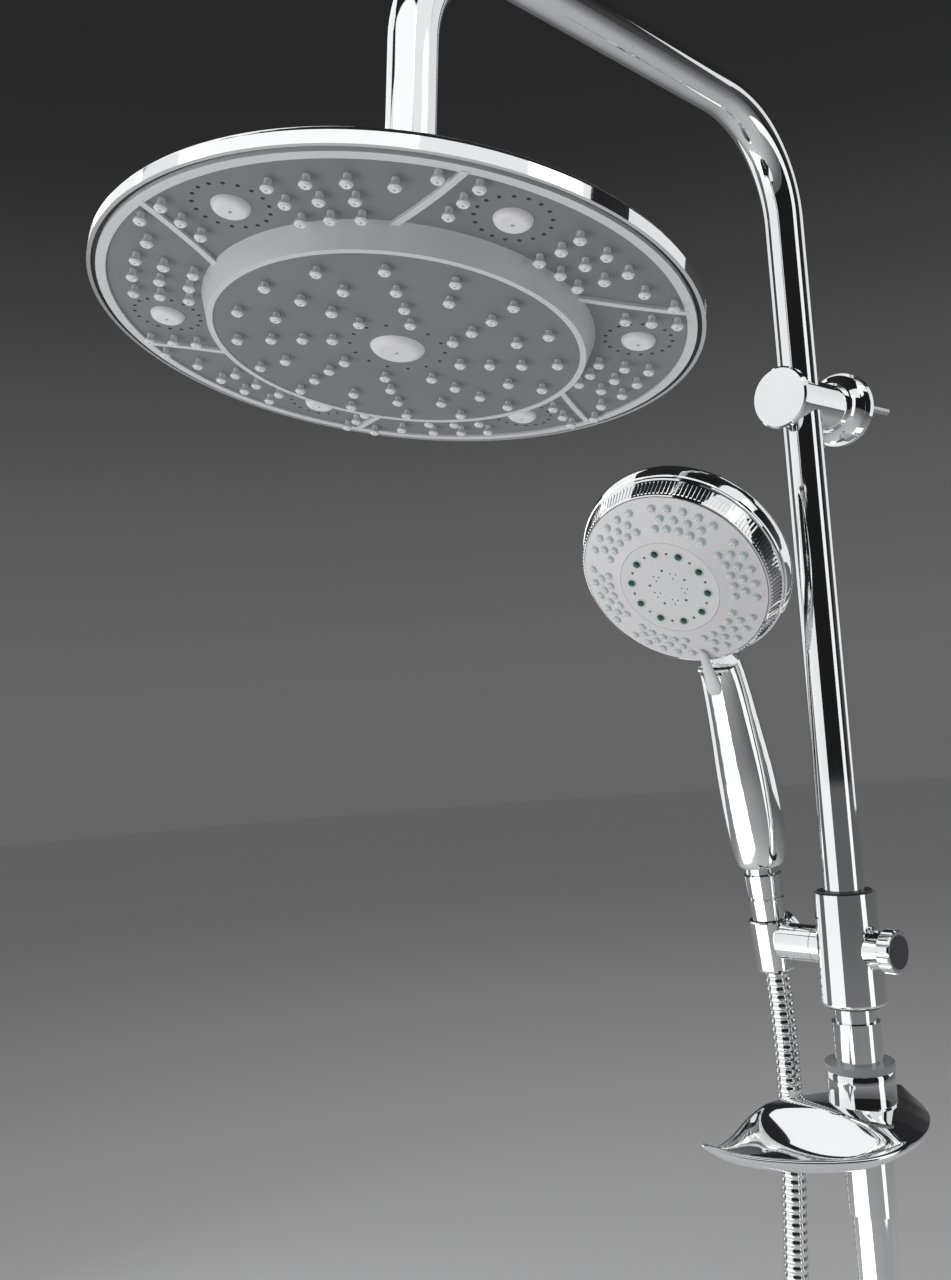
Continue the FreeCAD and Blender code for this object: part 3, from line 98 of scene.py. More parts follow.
# %% The hose's line
RISER_Y = -0.042
HOLDER_POINT = Vector((-0.050, -0.041, -0.301))
HOLDER_LEAN = 6.0
NUT_DEPTH, STRAIGHT_LENGTH = 0.012, 0.040
LOOP_RADIUS, LOOP_SIDE, LOOP_HEIGHT = 0.080, -0.031, -1.240
LOOP_FORWARD, LOOP_DRIFT = 0.0195, 0.0015
LOOP_POINTS, LOOP_START, LOOP_STEP = 6, 195, 30
WAY_DOWN = (
    (-51.6, 7.2, -410), (-54.6, 4.2, -480), (-60.0, -0.5, -590),
    (-69.0, -5.5, -720), (-82.0, -10.5, -860), (-95.0, -14.5, -1000),
    (-105.0, -17.0, -1110), (-110.5, -18.5, -1185),
)
WAY_UP = (
    (53.0, -10.0, -1202), (41.0, -7.0, -1146),
    (16.0, -3.0, -1100), (0.0, 0.0, -1056), (0.0, 0.0, -1012.3),
)


def beside_riser(x, y, z):
    """A point in metres from millimetres measured from the riser's line."""
    return Vector((x, y, z)) / 1000 + Vector((0, RISER_Y, 0))


def hose_points():
    """The control points: nut, way down, loop, way back up."""
    lean = math.radians(HOLDER_LEAN)
    down = Vector((0.0, math.sin(lean), -math.cos(lean)))
    top = HOLDER_POINT + down * NUT_DEPTH
    points = [top, top + down * STRAIGHT_LENGTH]
    points += [beside_riser(*place) for place in WAY_DOWN]
    reach = LOOP_RADIUS / math.cos(math.radians(LOOP_STEP / 2))
    for step in range(LOOP_POINTS):
        angle = math.radians(LOOP_START + LOOP_STEP * step)
        side = LOOP_SIDE + reach * math.cos(angle)
        height = LOOP_HEIGHT + reach * math.sin(angle)
        points.append(Vector((side, RISER_Y - LOOP_FORWARD + LOOP_DRIFT * step, height)))
    points += [beside_riser(*place) for place in WAY_UP]
    return points


def smooth_line(name, points):
    """One open NURBS spline and the points that Blender reads from it."""
    data = bpy.data.curves.new(name, "CURVE")
    data.dimensions = "3D"
    data.resolution_u = 24
    spline = data.splines.new("NURBS")
    spline.points.add(len(points) - 1)
    for control, place in zip(spline.points, points):
        control.co = (place.x, place.y, place.z, 1.0)
    spline.order_u = 3
    spline.use_endpoint_u = True
    holder = bpy.data.objects.new(name, data)
    bpy.context.scene.collection.objects.link(holder)
    depsgraph = bpy.context.evaluated_depsgraph_get()
    drawn = bpy.data.meshes.new_from_object(holder.evaluated_get(depsgraph))
    line = [vertex.co.copy() for vertex in drawn.vertices]
    bpy.data.objects.remove(holder)
    bpy.data.meshes.remove(drawn)
    return line


hose_line = smooth_line("hose_line", hose_points())
hose_length = sum((b - a).length for a, b in zip(hose_line, hose_line[1:]))
print("hose line", round(hose_length, 4), "m in", len(hose_line), "points")

# %% The hose's rings
RING_PITCH = 0.00475
RING_SIDES = 24
RING_SHAPE = ((0.0, 0.00625), (0.16, 0.00675), (0.5, 0.0070), (0.84, 0.00675))


def place_along(line, distance):
    """The point and the direction at a distance along a line of points."""
    for start, end in zip(line, line[1:]):
        step = (end - start).length
        if distance <= step:
            return start.lerp(end, distance / step), (end - start).normalized()
        distance -= step
    return line[-1].copy(), (line[-1] - line[-2]).normalized()


def ringed_tube(name, line, length):
    """A tube whose outline rises and falls once for each ring."""
    count = round(length / RING_PITCH)
    pitch = length / count
    verts, faces = [], []
    stations = [(0.0, RING_SHAPE[0][1])]
    for ring in range(count):
        for share, radius in RING_SHAPE[1:] + ((1.0, RING_SHAPE[0][1]),):
            stations.append(((ring + share) * pitch, radius))
    for distance, radius in stations:
        centre, along = place_along(line, distance)
        side = Vector((0, 1, 0)) - along * along.y
        side.normalize()
        other = along.cross(side)
        for corner in range(RING_SIDES):
            angle = 2 * math.pi * corner / RING_SIDES
            spoke = side * math.cos(angle) + other * math.sin(angle)
            verts.append(centre + spoke * radius)
    for row in range(len(stations) - 1):
        for corner in range(RING_SIDES):
            after = (corner + 1) % RING_SIDES
            low, high = row * RING_SIDES, (row + 1) * RING_SIDES
            faces.append((low + corner, low + after, high + after, high + corner))
    last = (len(stations) - 1) * RING_SIDES
    faces.append(tuple(reversed(range(RING_SIDES))))
    faces.append(tuple(range(last, last + RING_SIDES)))
    mesh = bpy.data.meshes.new(name)
    mesh.from_pydata([tuple(v) for v in verts], [], faces)
    mesh.update()
    piece = bpy.data.objects.new(name, mesh)
    bpy.context.scene.collection.objects.link(piece)
    return piece, count


ringed_hose, ring_count = ringed_tube("ringed_hose", hose_line, hose_length)
for face in ringed_hose.data.polygons:
    face.use_smooth = len(face.vertices) == 4
print("hose rings", ring_count, "faces", len(ringed_hose.data.polygons))

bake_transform(ringed_hose)
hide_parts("hose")

# %% [markdown]
# ## Modelling by hand, in code
# Every new piece starts from a primitive and is shaped with the operators that
# a person would use in edit mode. The helpers below only save typing: one
# adds a primitive with nothing else selected, one pulls an end face along a
# list of rings, and one bakes the finished piece into the wall's frame.

# %% Modelling helpers


def begin(kind, name, **settings):
    """A new primitive, alone in the selection and active."""
    bpy.ops.object.select_all(action="DESELECT")
    getattr(bpy.ops.mesh, f"primitive_{kind}_add")(**settings)
    piece = bpy.context.active_object
    piece.name = name
    settle(piece)
    return piece


def settle(piece, frame_of=None):
    """Put the object's place, and a frame if given, into its mesh."""
    piece.data.transform(piece.matrix_world)
    piece.matrix_world = Matrix.Identity(4)
    if frame_of is not None:
        piece.data.transform(frame_of)


def work_on(piece):
    """Make the piece the only selected one, in object mode."""
    if bpy.context.mode != "OBJECT":
        bpy.ops.object.mode_set(mode="OBJECT")
    bpy.ops.object.select_all(action="DESELECT")
    piece.select_set(True)
    bpy.context.view_layer.objects.active = piece


def pull_end(piece, rings):
    """Extrude the open end through rings of (centre, size, lean).

    A size is given along X, Y and Z, and only its ratio to the ring before
    counts. A lean is in degrees about X, measured from the start."""
    work_on(piece)
    bpy.ops.object.mode_set(mode="EDIT")
    bpy.ops.mesh.select_all(action="SELECT")
    for (here, size, lean), (there, next_size, next_lean) in zip(rings, rings[1:]):
        step = Vector(there) - Vector(here)
        bpy.ops.mesh.extrude_region_move(TRANSFORM_OT_translate={"value": step})
        scale = tuple(after / before for after, before in zip(next_size, size))
        bpy.ops.transform.resize(value=scale, center_override=there)
        if next_lean != lean:
            bpy.ops.transform.rotate(
                value=math.radians(lean - next_lean), orient_axis="X", center_override=there
            )
    bpy.ops.object.mode_set(mode="OBJECT")


def finish_with(piece, kind, **settings):
    """Add one modifier and apply it."""
    work_on(piece)
    modifier = piece.modifiers.new(kind.title(), kind)
    for key, value in settings.items():
        setattr(modifier, key, value)
    bpy.ops.object.modifier_apply(modifier=modifier.name)


def outward(piece):
    """Merge doubles, then turn every face outwards."""
    work_on(piece)
    bpy.ops.object.mode_set(mode="EDIT")
    bpy.ops.mesh.select_all(action="SELECT")
    bpy.ops.mesh.remove_doubles(threshold=1e-6)
    bpy.ops.mesh.normals_make_consistent(inside=False)
    bpy.ops.object.mode_set(mode="OBJECT")


def join(first, *others):
    """Join the other pieces into the first."""
    work_on(first)
    for other in others:
        other.select_set(True)
    bpy.ops.object.join()
    return first


def cut_away(piece, *cutters):
    """Take each cutter's shape out of the piece."""
    for cutter in cutters:
        finish_with(piece, "BOOLEAN", operation="DIFFERENCE", object=cutter, solver="EXACT")
        bpy.data.objects.remove(cutter)


def turn_about(axis, degrees):
    """The matrix of a turn about one axis through the origin."""
    return Matrix.Rotation(math.radians(degrees), 4, axis)


print("modelling helpers ready")

# %% [markdown]
# ## Three frames for the hand shower
# The hand shower leans out of its cup and is turned a little in it, and its
# spray face looks down. Working in the face's own frame, with +Z out of the
# face, keeps the numbers those of the real part. The turn, the lean and the
# place of the face were fitted by least squares to the photograph.

# %% The hand shower's frames
HANDSET_TURN, SPRAY_LEAN = 9.6, 119.8
SPRAY_PLACE = (0, -0.053, 0.2102)
IN_HOLDER = Matrix.Translation(HOLDER_POINT) @ turn_about("X", HOLDER_LEAN)
IN_HANDSET = IN_HOLDER @ turn_about("Z", HANDSET_TURN)
IN_SPRAY = IN_HANDSET @ Matrix.Translation(SPRAY_PLACE) @ turn_about("X", SPRAY_LEAN)
print("spray face at", [round(v, 4) for v in IN_SPRAY.translation])

# %% [markdown]
# ## The hand shower's skin
# The real skin is one moulding, plated: a teardrop handle that narrows, bends
# forward and flows into a shallow dome. A boolean of two solids would leave a
# hard seam, so the handle and the dome are wrapped together in one voxel
# mesh and smoothed, and only then are the ring's seat, the room under the face
# and the foot's bore cut sharp.

# %% The handle and the dome
HANDLE_RINGS = (
    (0.0, 41.5, 12.0, 0.0), (0.0, 44.0, 13.0, 0.0), (0.0, 50.0, 14.8, 0.0),
    (0.0, 62.0, 16.6, 0.0), (-0.5, 76.0, 17.3, 1.0), (-2.8, 96.0, 17.0, 4.5),
    (-5.0, 112.0, 15.7, 7.0), (-7.4, 128.0, 14.5, 9.5), (-10.0, 144.0, 13.6, 12.5),
    (-13.0, 157.0, 12.8, 19.0), (-18.0, 169.0, 12.0, 27.0), (-24.5, 179.0, 11.0, 34.0),
    (-33.0, 188.0, 10.0, 40.0),
)
handle_rings = [
    ((0, forward / 1000, height / 1000), (radius,) * 3, lean)
    for forward, height, radius, lean in HANDLE_RINGS
]
DOME_RADIUS, DOME_DEPTH = 0.0592, 0.0120
DOME_BAND, DOME_RIM, DOME_RIM_SHARE, DOME_BACK = 0.003, 0.008, 0.963, 0.0200
skin = begin(
    "circle", "hand_shower_skin", vertices=32, radius=0.0120,
    fill_type="NGON", location=(0, 0, 0.0415),
)
pull_end(skin, handle_rings)
finish_with(skin, "SUBSURF", levels=2, render_levels=2)
dome = begin("uv_sphere", "dome", segments=72, ring_count=36, radius=1.0)
dome.data.transform(Matrix.Diagonal((DOME_RADIUS, DOME_RADIUS, DOME_DEPTH, 1.0)))
work_on(dome)
bpy.ops.object.mode_set(mode="EDIT")
bpy.ops.mesh.select_all(action="SELECT")
bpy.ops.mesh.bisect(plane_co=(0, 0, 0), plane_no=(0, 0, 1), clear_outer=True)
bpy.ops.mesh.edge_face_add()
for rise in (DOME_BAND, DOME_RIM):
    bpy.ops.mesh.extrude_region_move(TRANSFORM_OT_translate={"value": (0, 0, rise)})
bpy.ops.transform.resize(
    value=(DOME_RIM_SHARE, DOME_RIM_SHARE, 1.0), center_override=(0, 0, 0)
)
bpy.ops.object.mode_set(mode="OBJECT")
dome.data.transform(Matrix.Translation((0, 0, -DOME_BACK)))
dome.data.transform(IN_HANDSET.inverted() @ IN_SPRAY)
outward(skin)
outward(dome)
join(skin, dome)
print("handle and dome", len(skin.data.vertices), "points")

# %% Wrap, smooth and cut the skin
finish_with(skin, "REMESH", mode="VOXEL", voxel_size=0.0009)
finish_with(skin, "SMOOTH", factor=0.5, iterations=18)
SEAT_RADIUS, CHIN_WIDTH, FOOT_BORE_RADIUS = 0.0620, 0.1094, 0.0096
seat = begin(
    "cylinder", "seat", vertices=96, radius=SEAT_RADIUS, depth=0.030, location=(0, 0, 0.0026)
)
chin = begin(
    "cube", "chin", size=1.0, location=(0, -0.004, 0.019), scale=(CHIN_WIDTH, CHIN_WIDTH, 0.040)
)
for cutter in (seat, chin):
    cutter.data.transform(IN_HANDSET.inverted() @ IN_SPRAY)
bore = begin(
    "cylinder", "bore", vertices=64, radius=FOOT_BORE_RADIUS, depth=0.060, location=(0, 0, 0.060)
)
cut_away(skin, seat, chin, bore)
outward(skin)
skin.data.transform(IN_HANDSET)
work_on(skin)
bpy.ops.object.shade_smooth_by_angle(angle=math.radians(40))
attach(skin, "hand_shower")
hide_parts("handset_shell")
print("skin faces", len(skin.data.polygons))

# %% [markdown]
# ## The ribbed band
# Between the pale face and the chrome back lies a narrow conical band with
# fine ribs for wet fingers. It starts as one circle that is pulled along its
# outline, and then every second face of the cone is raised into a rib.

# %% The band
BAND_OUTLINE = (
    (51.7, -1.4), (51.8, -0.4), (52.2, 0.0), (52.8, -0.4), (53.2, -1.4), (55.9, -9.2),
    (56.1, -10.2), (56.9, -10.7), (57.2, -11.5), (56.8, -12.2), (51.7, -12.2),
)
RIB_COUNT = 150
CONE_INNER, CONE_OUTER, CONE_BACK = 0.0538, 0.0552, -0.008
RIB_GAP, RIB_HEIGHT = 0.00012, 0.00045
band_rings = [((0, 0, height / 1000), (radius, radius, 1.0), 0.0) for radius, height in BAND_OUTLINE]
band = begin(
    "circle", "ribbed_band", vertices=2 * RIB_COUNT,
    radius=BAND_OUTLINE[0][0] / 1000, fill_type="NOTHING",
    location=band_rings[0][0],
)
pull_end(band, band_rings)
outward(band)
work_on(band)
bpy.ops.object.mode_set(mode="EDIT")
mesh = bmesh.from_edit_mesh(band.data)
bpy.ops.mesh.select_mode(type="FACE")
bpy.ops.mesh.select_all(action="DESELECT")
for face in mesh.faces:
    centre = face.calc_center_median()
    if CONE_INNER < math.hypot(centre.x, centre.y) < CONE_OUTER and centre.z > CONE_BACK:
        step = math.atan2(centre.y, centre.x) / (2 * math.pi) * 2 * RIB_COUNT
        face.select_set(math.floor(step) % 2 == 0)
bmesh.update_edit_mesh(band.data)
bpy.ops.mesh.inset(thickness=RIB_GAP, depth=RIB_HEIGHT, use_individual=True)
bpy.ops.object.mode_set(mode="OBJECT")
settle(band, IN_SPRAY)
work_on(band)
bpy.ops.object.shade_smooth_by_angle(angle=math.radians(28))
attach(band, "hand_shower")
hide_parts("handset_grip_ring")
print("band faces", len(band.data.polygons))

# %% [markdown]
# ## The lever on the spray face
# A thumb turns the spray plate by a pale lever that lies over the top of the
# handle. It is a small teardrop, thick in the middle and thin at its rim,
# which a subdivided loft gives with very few stations.

# %% The lever
LEVER_RINGS = (
    (-43.5, 1.8, 3.0, 1.3), (-48.0, 2.6, 3.0, 1.5), (-54.0, 2.9, 3.6, 1.5),
    (-60.0, 3.6, 4.9, 1.6), (-65.5, 4.6, 6.3, 1.7), (-69.5, 4.3, 7.3, 1.5),
    (-71.6, 2.4, 7.7, 0.9),
)
lever_rings = [
    ((0, place / 1000, height / 1000), (half, 1.0, thick), 0.0)
    for place, half, height, thick in LEVER_RINGS
]
lever = begin(
    "circle", "spray_lever", vertices=12, radius=1.0, fill_type="NGON",
    rotation=(math.radians(90), 0, 0),
)
lever.data.transform(
    Matrix.Diagonal((LEVER_RINGS[0][1] / 1000, 1.0, LEVER_RINGS[0][3] / 1000, 1.0))
)
lever.data.transform(Matrix.Translation(lever_rings[0][0]))
pull_end(lever, lever_rings)
finish_with(lever, "SUBSURF", levels=2, render_levels=2)
outward(lever)
settle(lever, IN_SPRAY)
bpy.ops.object.shade_smooth()
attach(lever, "spray_plate")
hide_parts("handset_selector")
print("lever faces", len(lever.data.polygons))

# %% [markdown]
# ## The soft nozzles of the spray face
# Each nozzle is a pearly tip standing in a teal ring. One is turned with the
# spin operator from its outline and copied to every place, in six groups of
# three curved rows.

# %% One nozzle
SPRAY_RADIUS, DISC_RADIUS, FACE_DOME = 51.6, 28.0, 6.6
SPRAY_ROWS = ((45.6, 5, 10.8), (40.4, 4, 10.8), (35.2, 5, 10.5))
SPRAY_GROUPS, SPRAY_START = 6, 30.5
TIP_OUTLINE = (
    (2.35, -0.5), (2.35, 0.25), (1.95, 0.45), (1.75, 0.35), (1.65, 1.2),
    (1.15, 1.75), (0.55, 1.85), (0.35, 1.45), (0.0, 1.4),
)
PEARL_RADIUS = 1.72


def turned_piece(name, outline, sides):
    """Spin an outline of (radius, height) in millimetres about Z."""
    first = begin("plane", name, size=0.001)
    mesh = bpy.data.meshes.new(name)
    rim = [(radius / 1000, 0.0, height / 1000) for radius, height in outline]
    mesh.from_pydata(rim, [(i, i + 1) for i in range(len(rim) - 1)], [])
    first.data = mesh
    work_on(first)
    bpy.ops.object.mode_set(mode="EDIT")
    bpy.ops.mesh.select_all(action="SELECT")
    bpy.ops.mesh.spin(
        steps=sides, angle=2 * math.pi, center=(0, 0, 0), axis=(0, 0, 1), use_normal_flip=False
    )
    bpy.ops.object.mode_set(mode="OBJECT")
    outward(first)
    bpy.ops.object.shade_smooth_by_angle(angle=math.radians(35))
    return first


def face_height(radius):
    """Height of the gently domed spray face at a radius, in millimetres."""
    return FACE_DOME * (SPRAY_RADIUS - radius) / (SPRAY_RADIUS - DISC_RADIUS)


def spread(model, places):
    """Copy a piece to each place, each copy with its own mesh, and join them."""
    copies = []
    for place in places:
        copy = model.copy()
        copy.data = model.data.copy()
        bpy.context.scene.collection.objects.link(copy)
        copy.data.transform(Matrix.Translation(place))
        copies.append(copy)
    bpy.data.objects.remove(model)
    return join(*copies)


tip = turned_piece("spray_tips", TIP_OUTLINE, 16)
places = []
for group in range(SPRAY_GROUPS):
    middle = (group + 0.5) * 360.0 / SPRAY_GROUPS + SPRAY_START
    for radius, count, step in SPRAY_ROWS:
        for index in range(count):
            angle = math.radians(middle + (index - (count - 1) / 2) * step)
            side, forward = radius * math.cos(angle), radius * math.sin(angle)
            places.append(Vector((side, forward, face_height(radius))) / 1000)
tips = spread(tip, places)
tips.name = "spray_tips"
settle(tips, IN_SPRAY)
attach(tips, "spray_plate")
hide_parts("handset_nozzles")
print("spray tips", len(places))

# %% [markdown]
# ## The leaf dish
# The dish is a cast leaf: a thin bowl with a rounded rim that ends in a small
# raised beak, and a saddle that carries the collar round the riser. The bowl is
# an open arc pulled along the leaf, given a wall and subdivided, which rounds
# its rim. The saddle is then raised out of the bowl's upper side, and the leaf
# is turned a little to the left, as it stands in the photograph. The places,
# half widths and rises of its rings, and its turn, came out of a least-squares
# fit of the rim to the photograph and were retouched. The depths were
# chosen.

# %% The bowl
# Each ring: place along the leaf, half width, depth and rise, in millimetres.
LEAF_RINGS = (
    (33.4, 2.4, 1.2, 0.0), (31.8, 9.4, 3.2, 0.0), (27.4, 18.0, 5.6, 0.0),
    (18.4, 28.4, 8.0, 0.0), (5.1, 37.8, 10.4, 0.0), (-9.9, 45.0, 12.0, 0.0),
    (-25.9, 47.9, 12.8, -0.3), (-43.9, 44.6, 12.8, -2.6), (-60.9, 35.6, 11.6, -1.9),
    (-76.9, 26.0, 9.6, -0.2), (-89.9, 18.6, 7.6, 2.1), (-100.9, 12.2, 5.9, 4.6),
    (-109.9, 6.6, 4.4, 8.0), (-116.9, 3.3, 2.8, 11.6), (-122.6, 1.2, 1.3, 13.8),
)
LEAF_TURN = -6.4
DISH_RIM = -388.0
RISER_LINE = -42.0
leaf_rings = [
    ((0, (RISER_LINE + place) / 1000, (DISH_RIM + rise) / 1000), (half, 1.0, depth), 0.0)
    for place, half, depth, rise in LEAF_RINGS
]
dish = begin(
    "circle", "leaf_dish", vertices=24, radius=1.0, fill_type="NOTHING",
    rotation=(math.radians(90), 0, 0),
)
work_on(dish)
bpy.ops.object.mode_set(mode="EDIT")
bpy.ops.mesh.select_mode(type="VERT")
bpy.ops.mesh.select_all(action="DESELECT")
mesh = bmesh.from_edit_mesh(dish.data)
for vertex in mesh.verts:
    vertex.select_set(vertex.co.z > 0.01)
bmesh.update_edit_mesh(dish.data)
bpy.ops.mesh.delete(type="VERT")
bpy.ops.object.mode_set(mode="OBJECT")
dish.data.transform(
    Matrix.Diagonal((LEAF_RINGS[0][1] / 1000, 1.0, LEAF_RINGS[0][2] / 1000, 1.0))
)
dish.data.transform(Matrix.Translation(leaf_rings[0][0]))
pull_end(dish, leaf_rings)
outward(dish)
lowest = min(dish.data.polygons, key=lambda face: face.center.z)
if lowest.normal.z > 0:
    dish.data.flip_normals()
print("bowl sheet", len(dish.data.polygons), "faces")

# %% The wall and the saddle
LEAF_WALL = 0.0030
finish_with(dish, "SOLIDIFY", thickness=LEAF_WALL, offset=-1.0)
outward(dish)
finish_with(dish, "SUBSURF", levels=3, render_levels=3)


def between(rings, place, column):
    """A column of the leaf's table at a place along it."""
    for behind, ahead in zip(rings, rings[1:]):
        if place >= ahead[0]:
            share = (behind[0] - place) / (behind[0] - ahead[0])
            return behind[column] + share * (ahead[column] - behind[column])
    return rings[-1][column]


SADDLE_HEIGHT, SADDLE_START, SADDLE_LENGTH = 6.5, -50.0, 34.0
for vertex in dish.data.vertices:
    place = min(vertex.co.y * 1000 - RISER_LINE, LEAF_RINGS[0][0])
    if vertex.normal.z > 0.1 and place > SADDLE_START:
        half, rise = (between(LEAF_RINGS, place, column) for column in (1, 3))
        across = min(1.0, abs(vertex.co.x) * 1000 / half)
        crown = DISH_RIM + rise + SADDLE_HEIGHT * (1 - across * across)
        share = min(1.0, (place - SADDLE_START) / SADDLE_LENGTH)
        share = share * share * (3 - 2 * share)
        height = vertex.co.z * 1000
        vertex.co.z = (height + share * max(0.0, crown - height)) / 1000
work_on(dish)
to_riser = Matrix.Translation((0, RISER_Y, 0))
from_riser = Matrix.Translation((0, -RISER_Y, 0))
dish.data.transform(to_riser @ turn_about("Z", LEAF_TURN) @ from_riser)
print("leaf", len(dish.data.vertices), "points")

# %% The collar
COLLAR_OUTLINE = (
    (-0.4040, 0.0172), (-0.4034, 0.0178), (-0.3828, 0.0178), (-0.3822, 0.0181),
    (-0.3816, 0.0181), (-0.3810, 0.0178), (-0.3700, 0.0178), (-0.3664, 0.0178),
    (-0.3653, 0.0172),
)
COLLAR_BORE, SOCKET_RADIUS, SOCKET_BACK, SOCKET_HEIGHT = 0.01278, 0.0026, 0.0188, -0.3765
collar_rings = [
    ((0, RISER_Y, height), (radius, radius, 1.0), 0.0) for height, radius in COLLAR_OUTLINE
]
collar = begin(
    "circle", "collar", vertices=96, radius=COLLAR_OUTLINE[0][1], fill_type="NGON",
    location=collar_rings[0][0],
)
pull_end(collar, collar_rings)
outward(collar)
join(dish, collar)
hole = begin(
    "cylinder", "hole", vertices=96, radius=COLLAR_BORE, depth=0.10, location=(0, RISER_Y, -0.390)
)
socket = begin(
    "cylinder", "socket", vertices=32, radius=SOCKET_RADIUS, depth=0.012,
    location=(0, RISER_Y + SOCKET_BACK, SOCKET_HEIGHT), rotation=(math.radians(90), 0, 0),
)
# Known fault: the solver keeps the hole's cylinder here instead of cutting the
# bore, so the finished dish is solid round the riser over the hole's depth.
cut_away(dish, hole, socket)
work_on(dish)
bpy.ops.object.shade_smooth_by_angle(angle=math.radians(40))
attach(dish, "soap_dish")
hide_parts("dish_tray")
print("dish faces", len(dish.data.polygons))

# %% [markdown]
# ## Shader sums in plain Python
# A finish is a small sum: a colour that varies a little, a roughness that
# varies with wear, a fine bump. Writing each Math node by hand hides the sum,
# so one small class wraps a socket and lets Python's own signs add the nodes.

# %% Shader helper


class Link:
    """One output socket, on which Python's signs add Math nodes."""

    def __init__(self, finish, socket):
        self.finish = finish
        self.socket = socket

    def sum(self, operation, *values):
        return self.finish.node("ShaderNodeMath", {"operation": operation}, *values)

    def __add__(self, other):
        return self.sum("ADD", self, other)

    def __radd__(self, other):
        return self.sum("ADD", other, self)

    def __sub__(self, other):
        return self.sum("SUBTRACT", self, other)

    def __rsub__(self, other):
        return self.sum("SUBTRACT", other, self)

    def __mul__(self, other):
        return self.sum("MULTIPLY", self, other)

    def __rmul__(self, other):
        return self.sum("MULTIPLY", other, self)


class Finish:
    """A material with a Principled surface and short ways to add nodes."""

    def __init__(self, name, **sockets):
        self.material = bpy.data.materials.new(name)
        self.material.use_nodes = True
        self.tree = self.material.node_tree
        self.surface = self.tree.nodes["Principled BSDF"]
        for socket, value in sockets.items():
            self.surface.inputs[socket.replace("_", " ")].default_value = value

    def node(self, kind, settings, *values, output=0, numbered=None, **named):
        """Add a node; numbered gives values or links by socket number."""
        added = self.tree.nodes.new(kind)
        for key, value in settings.items():
            setattr(added, key, value)
        pairs = list(enumerate(values)) + list((numbered or {}).items())
        pairs += [(key.replace("_", " "), value) for key, value in named.items()]
        for key, value in pairs:
            if isinstance(value, Link):
                self.tree.links.new(value.socket, added.inputs[key])
            else:
                added.inputs[key].default_value = value
        return Link(self, added.outputs[output])

    def place(self):
        return self.node("ShaderNodeTexCoord", {}, output="Object")

    def noise(self, scale, detail=2.0):
        return self.node("ShaderNodeTexNoise", {}, Vector=self.place(), Scale=scale, Detail=detail)

    def mix(self, share, first, second):
        """Mix two colours, whose sockets on this node are numbers 6 and 7."""
        sockets = {0: share, 6: first, 7: second}
        return self.node("ShaderNodeMix", {"data_type": "RGBA"}, numbered=sockets, output=2)

    def feed(self, socket, link):
        self.tree.links.new(link.socket, self.surface.inputs[socket])

    def bump(self, height, strength, distance):
        normal = self.node(
            "ShaderNodeBump", {}, Height=height, Strength=strength, Distance=distance
        )
        self.feed("Normal", normal)


print("shader helper ready")

# %% [markdown]
# ## Finishes
# Chrome is nearly white metal with a mirror surface. What tells the eye that
# it is real is not colour but small changes of gloss: dried water and wiping
# leave patches a little less sharp. The plastic faces are dull and have a
# fine moulded grain.

# %% Finishes


def chrome(name, tone, dull, patches=26.0):
    """Mirror plating with faint wiped patches and fine dried drops."""
    finish = Finish(name, Metallic=1.0)
    wiped = finish.noise(patches, 3.0)
    drops = finish.noise(420.0, 1.0)
    finish.feed("Roughness", dull + 0.05 * wiped * drops)
    darker = tuple(0.93 * part for part in tone[:3]) + (1.0,)
    finish.feed("Base Color", finish.mix(wiped, darker, tone))
    finish.bump(wiped, 0.02, 0.0005)
    return finish.material


def plastic(name, light, dark, rough, grain=1400.0, depth=0.12, **sockets):
    """Moulded plastic or rubber: slight clouding and a fine grain."""
    finish = Finish(name, **sockets)
    cloud = finish.noise(34.0, 3.0)
    fine = finish.noise(grain, 1.0)
    finish.feed("Base Color", finish.mix(cloud, dark, light))
    finish.feed("Roughness", rough + 0.10 * fine)
    finish.bump(fine, depth, 0.0002)
    return finish.material


finishes = {
    "chrome_plate": chrome("mirror_chrome", (0.90, 0.905, 0.915, 1), 0.035),
    "hose_metal": chrome("ring_chrome", (0.84, 0.845, 0.86, 1), 0.12, 60.0),
    "bare_brass": chrome("turned_brass", (0.80, 0.62, 0.30, 1), 0.22, 40.0),
    "steel": chrome("satin_steel", (0.62, 0.62, 0.63, 1), 0.30, 50.0),
    "grey_face": plastic("grey_face", (0.24, 0.243, 0.25, 1), (0.20, 0.203, 0.21, 1), 0.34),
    "light_grey_plastic": plastic("light_grey", (0.74, 0.745, 0.76, 1), (0.68, 0.685, 0.70, 1), 0.26),
    "grey_rubber": plastic("grey_rubber", (0.46, 0.48, 0.49, 1), (0.40, 0.42, 0.43, 1), 0.45),
    "light_face": plastic("pearl_face", (0.78, 0.785, 0.79, 1), (0.72, 0.725, 0.73, 1), 0.26),
    "soft_green_rubber": plastic("mint_rubber", (0.50, 0.66, 0.66, 1), (0.44, 0.60, 0.60, 1), 0.40),
    "dark_rubber": plastic("dark_rubber", (0.035, 0.035, 0.037, 1), (0.02, 0.02, 0.02, 1), 0.55),
    "dark_plastic": plastic("dark_plastic", (0.06, 0.06, 0.065, 1), (0.045, 0.045, 0.05, 1), 0.42),
    "pale_cap": plastic("pale_cap", (0.86, 0.86, 0.87, 1), (0.80, 0.80, 0.81, 1), 0.32),
    "grey_ring": plastic("grey_ring", (0.40, 0.41, 0.42, 1), (0.34, 0.35, 0.36, 1), 0.35),
}
print("finishes", len(finishes))

